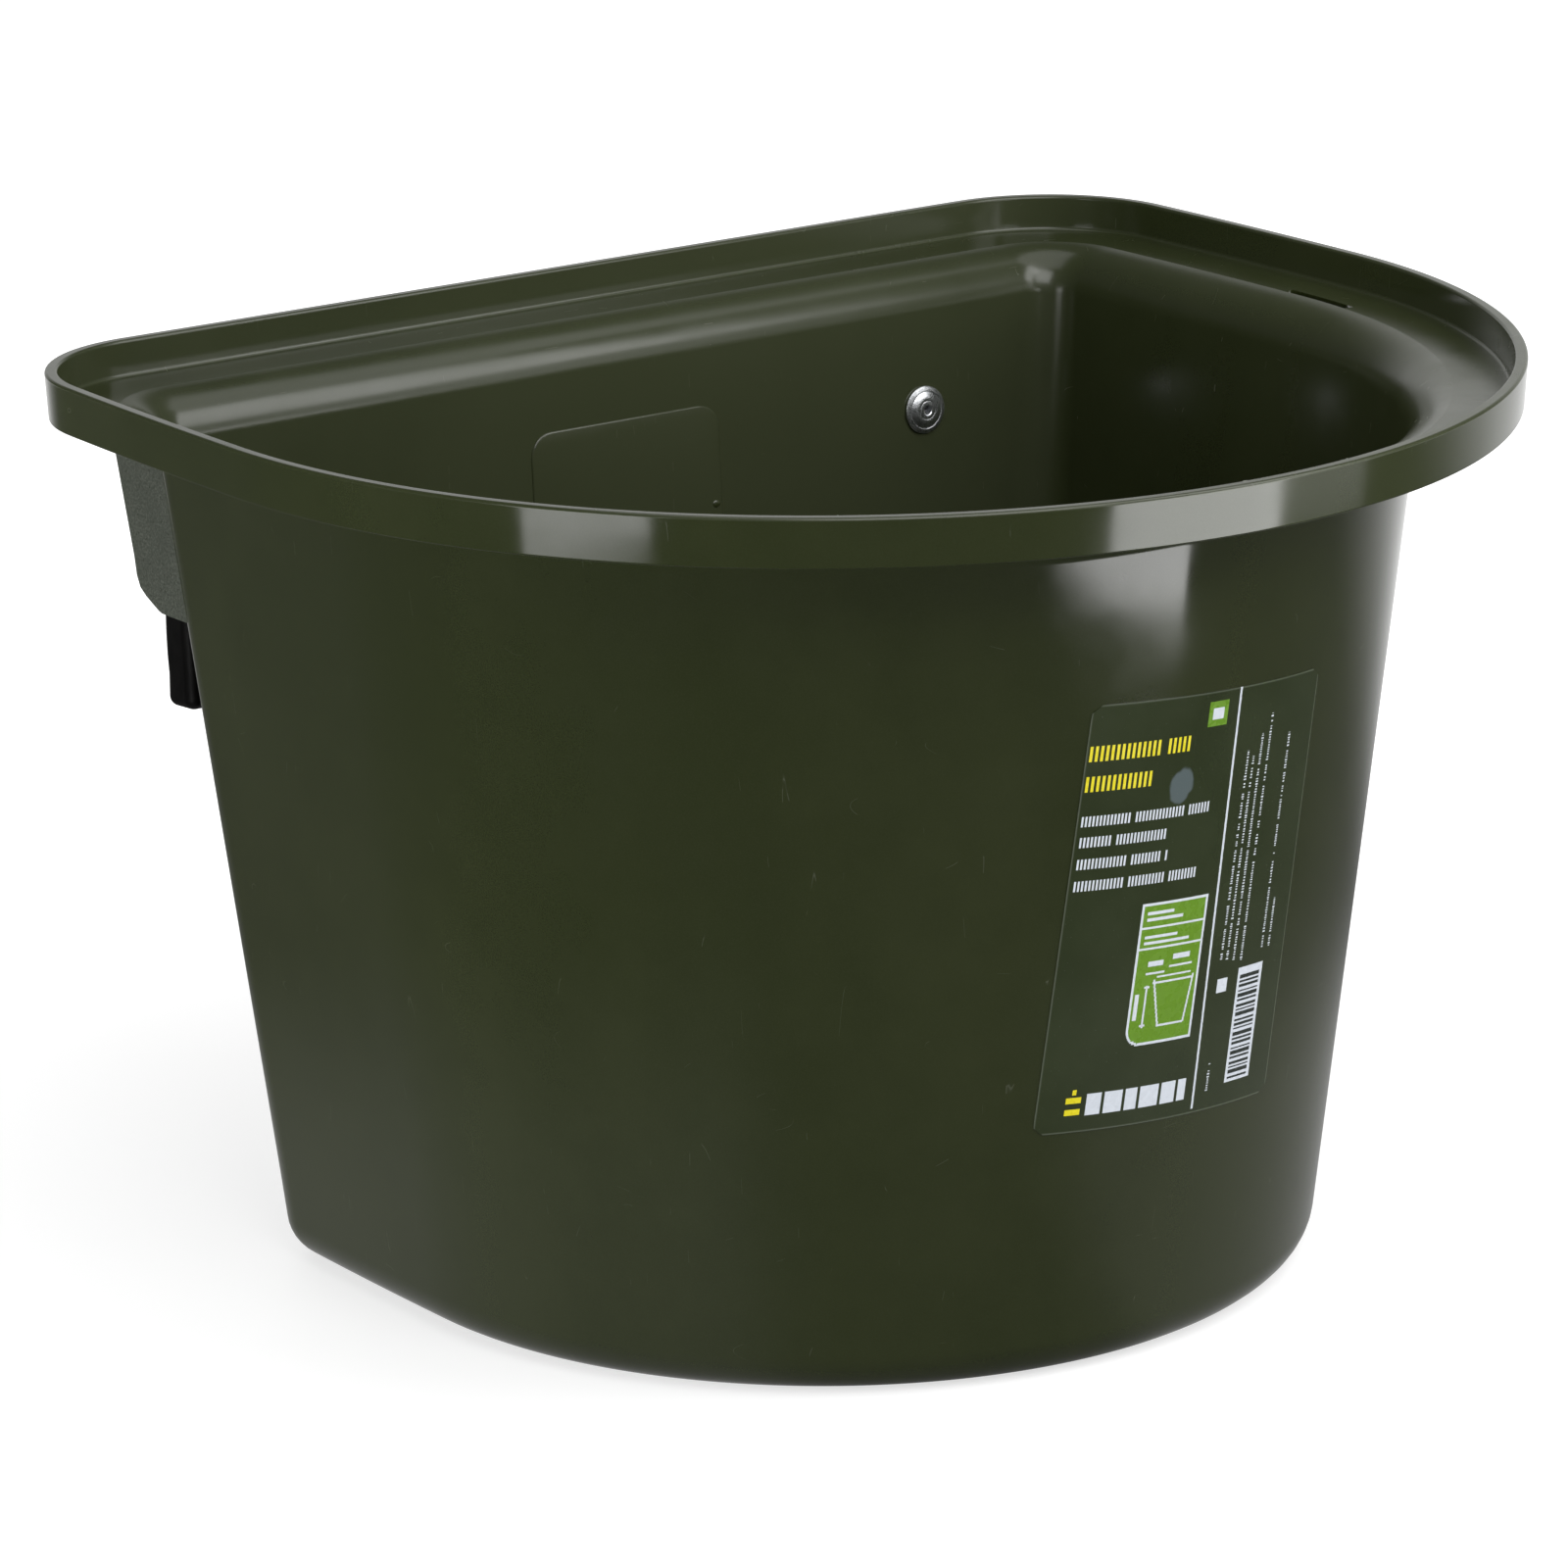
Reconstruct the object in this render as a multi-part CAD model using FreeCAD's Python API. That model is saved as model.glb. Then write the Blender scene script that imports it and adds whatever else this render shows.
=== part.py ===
import FreeCAD, Part

import math
import os

# Hanging feed bucket for a horse: a D-shaped plastic shell that hangs by two hook straps.
# Frame: X to the right seen from the front, +Y towards the flat back, +Z up.
# The origin lies on the ground plane under the middle of the rim. Millimetres throughout.

# ---- rim -----------------------------------------------------------------------------
rim_width = 390.0
rim_depth = 325.0
rim_height = 260.0
rim_corner_radius = 44.5
side_bow_radius = 1800.0
band_height = 13.7
band_draft = 0.75
band_thickness = 3.2
lip_height = 10.4
lip_base_thickness = 4.1
lip_top_thickness = 3.7
lip_edge_radius = 0.9
lip_root_radius = 1.2
ledge_edge = 20.6

# ---- shoulder and wall ---------------------------------------------------------------
shoulder_radius = 14.6
shoulder_start_angle = 8.0
wall_thickness = 2.5
wall_draft = 6.5
back_draft = 3.5
floor_thickness = 3.0
foot_corner_radius = 19.0
bottom_edge_radius = 13.5

# ---- details of the shell ------------------------------------------------------------
slot_length = 28.0
slot_width = 3.2
slot_ahead_of_arc = 6.0
panel_width = 66.0
panel_height = 62.0
panel_corner_radius = 7.0
panel_raise = 0.35
panel_below_rim = 39.5
fin_thickness = 3.2
fin_inset = 9.0
fin_rim_setback = 3.6
fin_knee_below_rim = 68.0
fin_knee_standoff = 17.0
fin_foot_below_rim = 73.0
fin_foot_standoff = 5.0
fin_knee_radius = 6.0
fin_foot_radius = 2.5

# ---- hook straps and their fixings ---------------------------------------------------
strap_spacing = 220.0
strap_width = 20.0
strap_thickness = 4.0
strap_below_rivet = 13.0
strap_bend_radius = 8.0
strap_end_radius = 9.0
strap_tip_radius = 4.0
strap_rim_clearance = 0.3
leg_distance = 54.0
leg_end_below_rim = 113.0
rivet_below_rim = 52.6
rivet_flange_diameter = 14.2
rivet_flange_thickness = 1.6
rivet_flange_edge = 0.5
rivet_flange_crown_diameter = 7.6
rivet_shank_diameter = 4.8
rivet_hole_clearance = 0.2
rivet_bulb_diameter = 7.6
rivet_bulb_length = 4.2
rivet_bulb_neck = 0.8
mandrel_diameter = 2.7
mandrel_head_diameter = 4.0
mandrel_head_length = 2.4
mandrel_head_taper = 1.0
mandrel_head_end_diameter = 2.2
mandrel_recess = 0.7
mandrel_clearance = 0.1
sleeve_width = 24.0
sleeve_depth = 13.5
sleeve_corner_radius = 3.4
sleeve_tip_radius = 3.0
sleeve_tip_thickness = 3.6
sleeve_mouth_radius = 1.0
sleeve_top_below_bend = 3.0
sleeve_fit = 0.15

# ---- label film on the front ---------------------------------------------------------
label_width = 84.0
label_height = 122.0
label_corner_radius = 3.0
label_centre_x = 8.0
label_centre_below_rim = 127.7
label_tilt = 3.5
label_film = 0.2
label_glue = 0.05

# ---- allowances of the construction --------------------------------------------------
match = 1e-6
cut_margin = 1.0
drill_length = 40.0

# ---- sizes that follow ---------------------------------------------------------------
front_radius = rim_width / 2
arc_centre_y = front_radius - rim_depth / 2
back_y = rim_depth / 2
ledge_z = rim_height - lip_height
fin_knee_height = rim_height - fin_knee_below_rim
fin_foot_height = rim_height - fin_foot_below_rim
leg_end_height = rim_height - leg_end_below_rim
rivet_height = rim_height - rivet_below_rim
label_centre_z = rim_height - label_centre_below_rim
band_bottom_z = rim_height - band_height
tan_wall = math.tan(math.radians(wall_draft))
tan_back = math.tan(math.radians(back_draft))
wall_inset = wall_thickness / math.cos(math.radians(wall_draft))

under_radius = shoulder_radius - wall_thickness
start_angle = math.radians(shoulder_start_angle)
draft_angle = math.radians(wall_draft)
shoulder_o = ledge_edge - shoulder_radius * math.sin(start_angle)
shoulder_z = ledge_z - shoulder_radius * math.cos(start_angle)
joint_z = shoulder_z + under_radius * math.sin(draft_angle)
joint_outer_o = shoulder_o + under_radius * math.cos(draft_angle)
joint_inner_o = joint_outer_o + wall_inset
ledge_under_z = shoulder_z + under_radius * math.cos(start_angle)


def vec(x, y, z):
    return FreeCAD.Vector(x, y, z)


def arc(start, middle, end):
    return Part.Arc(start, middle, end).toShape()


def line(start, end):
    return Part.LineSegment(start, end).toShape()


def arc_about(centre, radius, angle_from, angle_to, point):
    """Arc of a circle in a plane; point(u, v) maps plane coordinates into space."""
    stops = (angle_from, (angle_from + angle_to) / 2, angle_to)
    places = [point(centre[0] + radius * math.cos(a), centre[1] + radius * math.sin(a)) for a in stops]
    return arc(*places)


def rounded_polygon(points, radii, point):
    """Closed wire through points (u, v), each corner rounded by its own radius."""
    entries = []
    exits = []
    middles = []
    count = len(points)
    for i, (corner, radius) in enumerate(zip(points, radii)):
        before = points[i - 1]
        after = points[(i + 1) % count]
        to_before = (before[0] - corner[0], before[1] - corner[1])
        to_after = (after[0] - corner[0], after[1] - corner[1])
        size_before = math.hypot(*to_before)
        size_after = math.hypot(*to_after)
        b = (to_before[0] / size_before, to_before[1] / size_before)
        a = (to_after[0] / size_after, to_after[1] / size_after)
        half = math.acos(max(-1.0, min(1.0, a[0] * b[0] + a[1] * b[1]))) / 2
        cut = radius / math.tan(half)
        bisector = (a[0] + b[0], a[1] + b[1])
        size = math.hypot(*bisector)
        reach = radius / math.sin(half) - radius
        entries.append((corner[0] + b[0] * cut, corner[1] + b[1] * cut))
        exits.append((corner[0] + a[0] * cut, corner[1] + a[1] * cut))
        middles.append((corner[0] + bisector[0] / size * reach, corner[1] + bisector[1] / size * reach))
    edges = []
    for i in range(count):
        if radii[i] > 0:
            edges.append(arc(point(*entries[i]), point(*middles[i]), point(*exits[i])))
        start = exits[i]
        end = entries[(i + 1) % count]
        if math.dist(start, end) > match:
            edges.append(line(point(*start), point(*end)))
    return Part.Wire(edges)


# ---- plan outline of the bucket ------------------------------------------------------
def corner_centre(radius, back, corner):
    """Centre of the back corner arc, tangent to the bowed side and to the straight back."""
    side_x = radius - side_bow_radius
    y = back - corner
    x = side_x + math.sqrt((side_bow_radius - corner) ** 2 - (y - arc_centre_y) ** 2)
    return x, y, math.atan2(y - arc_centre_y, x - side_x)


def outline(radius, back, corner, z):
    """Closed D: half circle in front, bowed sides, rounded back corners, straight back."""
    x, y, turn = corner_centre(radius, back, corner)

    def at(u, v):
        return vec(u, v, z)

    def mirrored(u, v):
        return vec(-u, v, z)

    side = (radius - side_bow_radius, arc_centre_y)
    edges = [
        arc_about((0, arc_centre_y), radius, math.pi, 1.5 * math.pi, at),
        arc_about((0, arc_centre_y), radius, 1.5 * math.pi, 2 * math.pi, at),
        arc_about(side, side_bow_radius, 0, turn, at),
        arc_about((x, y), corner, turn, math.pi / 2, at),
        line(at(x, back), mirrored(x, back)),
        arc_about((x, y), corner, math.pi / 2, turn, mirrored),
        arc_about(side, side_bow_radius, turn, 0, mirrored),
    ]
    return Part.Wire(edges)


def wall_front_radius(z):
    """Radius of the outer wall in front at height z."""
    return front_radius - joint_outer_o - (joint_z - z) * tan_wall


def wall_back_y(z):
    """Outer face of the back wall at height z."""
    return back_y - joint_outer_o - (joint_z - z) * tan_back


def wall_outline(z, inset):
    """Outline of the drafted wall at height z, moved inwards by inset."""
    top_corner = rim_corner_radius - joint_outer_o
    corner = foot_corner_radius + (top_corner - foot_corner_radius) * z / joint_z
    return outline(wall_front_radius(z) - inset, wall_back_y(z) - inset, corner - inset, z)


# ---- rim ring: one section carried round the outline ---------------------------------
def rim_section(point):
    """Section of lip, ledge and shoulder; o is the distance inwards from the rim's edge."""
    inner_end_o = shoulder_o + shoulder_radius * math.cos(draft_angle)
    inner_end_z = shoulder_z + shoulder_radius * math.sin(draft_angle)
    under_start_o = shoulder_o + under_radius * math.sin(start_angle)
    quarter = math.pi / 2
    under_arc = arc_about((shoulder_o, shoulder_z), under_radius, quarter - start_angle, draft_angle, point)
    top_arc = arc_about((shoulder_o, shoulder_z), shoulder_radius, draft_angle, quarter - start_angle, point)

    def edge_round(corner, before, after, radius):
        """Entry, middle and exit of a rounded corner of the section."""
        wire = rounded_polygon([before, corner, after], [0, radius, 0], lambda u, v: vec(u, v, 0))
        bend = [e for e in wire.Edges if e.Curve.TypeId == "Part::GeomCircle"][0]
        places = (bend.Vertexes[0].Point, bend.valueAt((bend.FirstParameter + bend.LastParameter) / 2),
                  bend.Vertexes[-1].Point)
        return [(p.x, p.y) for p in places]

    top_outer = (0, rim_height)
    top_inner = (lip_top_thickness, rim_height)
    root = (lip_base_thickness, ledge_z)
    crest = (ledge_edge, ledge_z)
    band_outer = (band_draft, band_bottom_z)
    band_inner = (band_draft + band_thickness, band_bottom_z)
    band_root = (band_draft + band_thickness, ledge_under_z)
    rounds = [
        edge_round(root, crest, top_inner, lip_root_radius),
        edge_round(top_inner, root, top_outer, lip_edge_radius),
        edge_round(top_outer, top_inner, band_outer, lip_edge_radius),
    ]
    edges = []
    last = crest
    for entry, middle, leave in rounds:
        ends = sorted((entry, leave), key=lambda p: math.dist(p, last))
        edges.append(line(point(*last), point(*ends[0])))
        edges.append(arc(point(*ends[0]), point(*middle), point(*ends[1])))
        last = ends[1]
    for corner in (band_outer, band_inner, band_root, (under_start_o, ledge_under_z)):
        edges.append(line(point(*last), point(*corner)))
        last = corner
    edges.append(under_arc)
    edges.append(line(point(joint_outer_o, joint_z), point(joint_inner_o, joint_z)))
    edges.append(line(point(joint_inner_o, joint_z), point(inner_end_o, inner_end_z)))
    edges.append(top_arc)
    return Part.Face(Part.Wire(Part.__sortEdges__(edges)))


def make_rim_ring():
    x, y, turn = corner_centre(front_radius, back_y, rim_corner_radius)
    side_x = front_radius - side_bow_radius
    up = vec(0, 0, 1)
    section = rim_section(lambda o, z: vec(front_radius - o, arc_centre_y, z))
    front = section.copy().revolve(vec(0, arc_centre_y, 0), up, -180)
    side = section.copy().revolve(vec(side_x, arc_centre_y, 0), up, math.degrees(turn))
    turned = section.copy()
    turned.rotate(vec(side_x, arc_centre_y, 0), up, math.degrees(turn))
    corner = turned.copy().revolve(vec(x, y, 0), up, 90 - math.degrees(turn))
    back_section = rim_section(lambda o, z: vec(x, back_y - o, z))
    back = back_section.extrude(vec(-2 * x, 0, 0))
    halves = [side, corner]
    halves += [part.mirror(vec(0, 0, 0), vec(1, 0, 0)) for part in (side, corner)]
    return front.multiFuse(halves + [back])


# ---- drafted wall and floor ----------------------------------------------------------
def tub(low_z, inset, foot_radius):
    """Solid tub from low_z up to the shoulder, its sides moved inwards and its foot rounded."""
    solid = Part.makeLoft([wall_outline(low_z, inset), wall_outline(joint_z, inset)], True, True)
    foot = [e for e in solid.Edges if e.BoundBox.ZMax < low_z + match]
    return solid.makeFillet(foot_radius, foot)


def tub_inside(inset):
    return tub(floor_thickness, inset, bottom_edge_radius - wall_thickness)


# ---- fins, slots, panel and rivet holes ----------------------------------------------
def make_fin(side):
    """Gusset behind the rim's end: it carries the rim and stands the back off the board."""
    outer_x = wall_front_radius(joint_z) - fin_inset
    corner_x, corner_y, _ = corner_centre(front_radius, back_y, rim_corner_radius)
    mid_radius = shoulder_radius - wall_thickness / 2
    reach = rim_corner_radius - shoulder_o - mid_radius
    shoulder_y = corner_y + math.sqrt(reach ** 2 - (outer_x - fin_thickness / 2 - corner_x) ** 2)
    rim_y = back_y - fin_rim_setback
    top_z = shoulder_z + mid_radius
    points = [
        (corner_y, fin_foot_height),
        (wall_back_y(fin_foot_height) + fin_foot_standoff, fin_foot_height),
        (wall_back_y(fin_knee_height) + fin_knee_standoff, fin_knee_height),
        (rim_y, band_bottom_z),
        (rim_y, top_z),
        (shoulder_y, top_z),
        (shoulder_y, shoulder_z),
    ]
    radii = [0, fin_foot_radius, fin_knee_radius, 0, 0, mid_radius, 0]
    wire = rounded_polygon(points, radii, lambda u, v: vec(side * outer_x, u, v))
    fin = Part.Face(wire).extrude(vec(-side * fin_thickness, 0, 0))
    return fin.cut(tub_inside(wall_inset))


def make_slot(side):
    """Narrow slot through the ledge, against the shoulder."""
    x = front_radius - ledge_edge
    y = arc_centre_y - slot_ahead_of_arc - slot_length / 2
    depth = ledge_z - ledge_under_z + 2 * cut_margin
    slot = Part.makeBox(slot_width, slot_length, depth, vec(x, y, ledge_under_z - cut_margin))
    if side < 0:
        slot = slot.mirror(vec(0, 0, 0), vec(1, 0, 0))
    return slot


def make_panel():
    """Faint raised panel on the inside of the back wall."""
    top_z = rim_height - panel_below_rim
    half = panel_width / 2
    points = [(-half, top_z - panel_height), (half, top_z - panel_height), (half, top_z), (-half, top_z)]
    inner_y = wall_back_y(top_z) - wall_inset
    wire = rounded_polygon(points, [panel_corner_radius] * 4, lambda u, v: vec(u, inner_y - wall_thickness, v))
    block = Part.Face(wire).extrude(vec(0, 2 * wall_thickness, 0))
    return block.common(tub(0, 0, bottom_edge_radius)).cut(tub_inside(wall_inset + panel_raise))


def rivet_frame(side):
    """Placement at the rivet: local Z is the outward normal of the back wall, at its outer face."""
    tilt = FreeCAD.Rotation(vec(1, 0, 0), -90 - back_draft)
    return FreeCAD.Placement(vec(side * strap_spacing / 2, wall_back_y(rivet_height), rivet_height), tilt)


def make_rivet_hole(side):
    radius = (rivet_shank_diameter + rivet_hole_clearance) / 2
    hole = Part.makeCylinder(radius, drill_length, vec(0, 0, -drill_length / 2))
    hole.Placement = rivet_frame(side)
    return hole


def make_bucket_shell():
    wall = tub(0, 0, bottom_edge_radius).cut(tub_inside(wall_inset))
    shell = make_rim_ring().fuse(wall)
    shell = shell.multiFuse([make_fin(1), make_fin(-1), make_panel()])
    for side in (1, -1):
        shell = shell.cut(make_slot(side)).cut(make_rivet_hole(side))
    return shell.removeSplitter()


# ---- hook strap ----------------------------------------------------------------------
def strap_path():
    """Middle line of the strap in the YZ plane: corner points before its bends are rounded."""
    half = strap_thickness / 2
    offset = half / math.cos(math.radians(back_draft))
    low_z = rivet_height - strap_below_rivet
    top_z = band_bottom_z - strap_rim_clearance - half
    return [
        (wall_back_y(low_z) + offset, low_z),
        (wall_back_y(top_z) + offset, top_z),
        (wall_back_y(top_z) + leg_distance, top_z),
        (wall_back_y(leg_end_height) + leg_distance, leg_end_height),
    ]


def side_line(path, distance):
    """The path's corners moved sideways by distance, to the left of the direction of travel."""
    normals = []
    for start, end in zip(path, path[1:]):
        size = math.dist(start, end)
        normals.append(((start[1] - end[1]) / size, (end[0] - start[0]) / size))
    normals = [normals[0]] + normals + [normals[-1]]
    moved = []
    for corner, n, m in zip(path, normals, normals[1:]):
        scale = distance / (1 + n[0] * m[0] + n[1] * m[1])
        moved.append((corner[0] + scale * (n[0] + m[0]), corner[1] + scale * (n[1] + m[1])))
    return moved


def make_strap(side):
    """Flat steel strap: up the back wall, out under the rim, and down behind the board."""
    half = strap_thickness / 2
    points = side_line(strap_path(), half) + side_line(strap_path(), -half)[::-1]
    outside = strap_bend_radius + strap_thickness
    radii = [0, outside, outside, 0, 0, strap_bend_radius, strap_bend_radius, 0]
    x = side * strap_spacing / 2 - strap_width / 2
    strap = Part.Face(rounded_polygon(points, radii, lambda u, v: vec(x, u, v))).extrude(vec(strap_width, 0, 0))
    middle_y = wall_back_y(rivet_height) + leg_distance / 2

    def end_edges(shape, near_wall):
        across = [e for e in shape.Edges if abs(e.Length - strap_thickness) < match]
        return [e for e in across if (e.CenterOfMass.y < middle_y) == near_wall]

    strap = strap.makeFillet(strap_end_radius, end_edges(strap, True))
    strap = strap.makeFillet(strap_tip_radius, end_edges(strap, False))
    return strap.cut(make_rivet_hole(side))


def make_sleeve(side):
    """Black buffer pushed over the hanging leg; its closed tip rests on the strap's end."""
    top, low = strap_path()[2:]
    lean = math.atan2(top[0] - low[0], top[1] - low[1])
    turn = math.pi / 2 + lean
    bend_cut = (strap_bend_radius + strap_thickness / 2) * math.tan(turn / 2)
    length = math.dist(top, low) - bend_cut - sleeve_top_below_bend
    half_width = sleeve_width / 2
    half_depth = sleeve_depth / 2
    corners = [(-half_width, -half_depth), (half_width, -half_depth), (half_width, half_depth),
               (-half_width, half_depth)]
    outer = rounded_polygon(corners, [sleeve_corner_radius] * 4, lambda u, v: vec(u, v, -sleeve_tip_thickness))
    sleeve = Part.Face(outer).extrude(vec(0, 0, length + sleeve_tip_thickness))
    low_edges = [e for e in sleeve.Edges if e.BoundBox.ZMax < match - sleeve_tip_thickness]
    sleeve = sleeve.makeFillet(sleeve_tip_radius, low_edges)
    high_edges = [e for e in sleeve.Edges if e.BoundBox.ZMin > length - match]
    sleeve = sleeve.makeFillet(sleeve_mouth_radius, high_edges)
    pocket_width = strap_width + 2 * sleeve_fit
    pocket_depth = strap_thickness + 2 * sleeve_fit
    corner = vec(-pocket_width / 2, -pocket_depth / 2, 0)
    sleeve = sleeve.cut(Part.makeBox(pocket_width, pocket_depth, length + cut_margin, corner))
    tilt = FreeCAD.Rotation(vec(1, 0, 0), -math.degrees(lean))
    sleeve.Placement = FreeCAD.Placement(vec(side * strap_spacing / 2, low[0], low[1]), tilt)
    return sleeve


# ---- blind rivets --------------------------------------------------------------------
def turned_part(points, side):
    """Solid of revolution about the rivet's axis, from (radius, height) points."""
    wire = Part.makePolygon([vec(r, 0, z) for r, z in points + points[:1]])
    solid = Part.Face(wire).revolve(vec(0, 0, 0), vec(0, 0, 1), 360)
    solid.Placement = rivet_frame(side)
    return solid


def rivet_levels():
    """Heights along the rivet's axis: crown of the flange, wall, strap, end of the bulb."""
    wall = -wall_inset * math.cos(math.radians(back_draft))
    crown = wall - rivet_flange_thickness
    return crown, wall, strap_thickness, strap_thickness + rivet_bulb_length


def make_rivet_body(side):
    """Aluminium body: wide bevelled flange inside the bucket, bulb against the strap."""
    crown, wall, seat, end = rivet_levels()
    bore = mandrel_diameter / 2 + mandrel_clearance / 2
    shank = rivet_shank_diameter / 2
    flange = rivet_flange_diameter / 2
    bulb = rivet_bulb_diameter / 2
    points = [
        (bore, crown),
        (rivet_flange_crown_diameter / 2, crown),
        (flange, wall - rivet_flange_edge),
        (flange, wall),
        (shank, wall),
        (shank, seat),
        (bulb * rivet_bulb_neck, seat),
        (bulb, seat + rivet_bulb_length / 3),
        (bulb, seat + rivet_bulb_length * 2 / 3),
        (bulb * rivet_bulb_neck, end),
        (bore, end),
    ]
    return turned_part(points, side)


def make_mandrel(side):
    """Broken-off steel pin in the rivet, its head against the end of the bulb."""
    crown, _, _, end = rivet_levels()
    pin = mandrel_diameter / 2
    head = mandrel_head_diameter / 2
    points = [
        (0, crown + mandrel_recess),
        (pin, crown + mandrel_recess),
        (pin, end),
        (head, end),
        (head, end + mandrel_head_length - mandrel_head_taper),
        (mandrel_head_end_diameter / 2, end + mandrel_head_length),
        (0, end + mandrel_head_length),
    ]
    return turned_part(points, side)


# ---- label film ----------------------------------------------------------------------
def make_label():
    """Rectangular film wrapped on the conical front wall."""
    low_z = label_centre_z - label_height
    high_z = label_centre_z + label_height
    centre = vec(0, arc_centre_y, low_z)

    def cone(grow):
        low = wall_front_radius(low_z) + grow
        high = wall_front_radius(high_z) + grow
        return Part.makeCone(low, high, high_z - low_z, centre, vec(0, 0, 1))

    half_width = label_width / 2
    half_height = label_height / 2
    corners = [(-half_width, -half_height), (half_width, -half_height), (half_width, half_height),
               (-half_width, half_height)]
    wire = rounded_polygon(corners, [label_corner_radius] * 4, lambda u, v: vec(u, 0, v))
    wire.rotate(vec(0, 0, 0), vec(0, 1, 0), label_tilt)
    wire.translate(vec(label_centre_x, arc_centre_y, label_centre_z))
    prism = Part.Face(wire).extrude(vec(0, -rim_depth, 0))
    return cone(label_glue + label_film).cut(cone(label_glue)).common(prism)


# ---- output --------------------------------------------------------------------------
def write(node, shape):
    solids = shape.Solids
    if len(solids) != 1 or not shape.isValid():
        raise ValueError(node + " is not one valid solid")
    solids[0].exportStep("parts/" + node + ".step")


def main():
    os.makedirs("parts", exist_ok=True)
    write("bucket_shell", make_bucket_shell())
    write("front_label", make_label())
    for name, side in (("left", -1), ("right", 1)):
        write(name + "_hook_strap", make_strap(side))
        write(name + "_leg_sleeve", make_sleeve(side))
        write(name + "_rivet_body", make_rivet_body(side))
        write(name + "_rivet_mandrel", make_mandrel(side))


main()
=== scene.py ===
"""Looks of a hanging feed bucket: a D-shaped plastic shell, its label and two riveted hooks.

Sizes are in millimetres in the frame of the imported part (X right seen from the front,
+Y towards the flat back, +Z up) and are turned into metres where a mesh is made.
"""

import logging
import math
import random
from collections.abc import Callable
from dataclasses import dataclass
from enum import Enum

import bmesh
import bpy
from mathutils import Matrix, Vector


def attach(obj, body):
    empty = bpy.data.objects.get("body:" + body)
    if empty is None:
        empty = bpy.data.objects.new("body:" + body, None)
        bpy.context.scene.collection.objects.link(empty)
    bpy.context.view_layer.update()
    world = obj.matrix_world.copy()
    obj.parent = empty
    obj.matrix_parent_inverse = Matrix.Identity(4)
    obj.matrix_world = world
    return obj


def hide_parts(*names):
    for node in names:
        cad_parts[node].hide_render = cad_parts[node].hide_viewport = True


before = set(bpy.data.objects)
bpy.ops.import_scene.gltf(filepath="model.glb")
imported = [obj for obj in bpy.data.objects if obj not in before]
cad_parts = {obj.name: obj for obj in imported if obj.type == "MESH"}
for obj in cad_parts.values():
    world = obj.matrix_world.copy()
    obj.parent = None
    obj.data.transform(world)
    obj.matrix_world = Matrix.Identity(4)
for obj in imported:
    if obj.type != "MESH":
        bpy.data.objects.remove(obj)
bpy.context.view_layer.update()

MM = 0.001
ROOT = "root"
log = logging.getLogger("feed_bucket")

Outline = list[tuple[float, float]]
Triple = tuple[float, float, float]
Rectangle = tuple[float, float, float, float]
Socket = bpy.types.NodeSocket
Value = Socket | float
Paint = Socket | Triple


class Side(Enum):
    """Which half of the bucket a piece belongs to; the value is the sign of X."""

    LEFT = -1
    RIGHT = 1

    @property
    def label(self) -> str:
        """The side's word in piece names."""
        return self.name.lower()


class Ink(Enum):
    """Inks on the label, with their linear colours."""

    WHITE = (0.62, 0.66, 0.72)
    YELLOW = (0.72, 0.62, 0.010)
    GREEN = (0.115, 0.245, 0.012)


# ---- small tools for modelling ---------------------------------------------------------
def metres(*values: float) -> tuple[float, ...]:
    """Millimetres turned into metres."""
    return tuple(value * MM for value in values)


def start_fresh() -> None:
    """Deselects every object, so that an operator acts on new work only."""
    if bpy.context.mode != "OBJECT":
        bpy.ops.object.mode_set(mode="OBJECT")
    bpy.ops.object.select_all(action="DESELECT")


def finish_piece(name: str, material: bpy.types.Material,
                 replaced: tuple[str, ...] = ()) -> bpy.types.Object:
    """Names the active object, dresses it and lets it ride on the body.

    Args:
        name: The piece's name.
        material: Its material.
        replaced: CAD nodes that the piece stands for.

    Returns:
        The finished object.
    """
    piece = bpy.context.active_object
    piece.name = name
    piece.data.name = name
    piece.data.materials.clear()
    piece.data.materials.append(material)
    bpy.ops.object.transform_apply(location=True, rotation=True, scale=True)
    if replaced:
        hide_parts(*replaced)
    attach(piece, ROOT)
    log.info("piece %s: %d faces", name, len(piece.data.polygons))
    return piece


def apply_modifier(kind: str, **settings: object) -> None:
    """Adds a modifier to the active object, sets it and applies it.

    Args:
        kind: Blender's name of the modifier.
        **settings: Its properties.
    """
    modifier = bpy.context.active_object.modifiers.new(kind.lower(), kind)
    for key, value in settings.items():
        setattr(modifier, key, value)
    bpy.ops.object.modifier_apply(modifier=modifier.name)


class EditSession:
    """Edit mode on the active object, with selections made in code."""

    def __init__(self) -> None:
        """Enters edit mode with nothing selected."""
        self.owner = bpy.context.active_object
        bpy.ops.object.mode_set(mode="EDIT")
        bpy.ops.mesh.select_mode(type="VERT")
        bpy.ops.mesh.select_all(action="DESELECT")

    def mesh(self) -> bmesh.types.BMesh:
        """The mesh being edited."""
        return bmesh.from_edit_mesh(self.owner.data)

    def clear(self) -> bmesh.types.BMesh:
        """Deselects everything and returns the mesh."""
        bpy.ops.mesh.select_all(action="DESELECT")
        return self.mesh()

    def pick_faces(self, test: Callable[[Vector, Vector], bool]) -> None:
        """Selects faces by their middle and normal.

        Args:
            test: Function of the middle (millimetres) and the normal.
        """
        work = self.clear()
        bpy.ops.mesh.select_mode(type="FACE")
        for face in work.faces:
            if test(face.calc_center_median() / MM, face.normal):
                face.select_set(True)
        bmesh.update_edit_mesh(self.owner.data)

    def leave(self) -> None:
        """Goes back to object mode."""
        bpy.ops.object.mode_set(mode="OBJECT")


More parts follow.
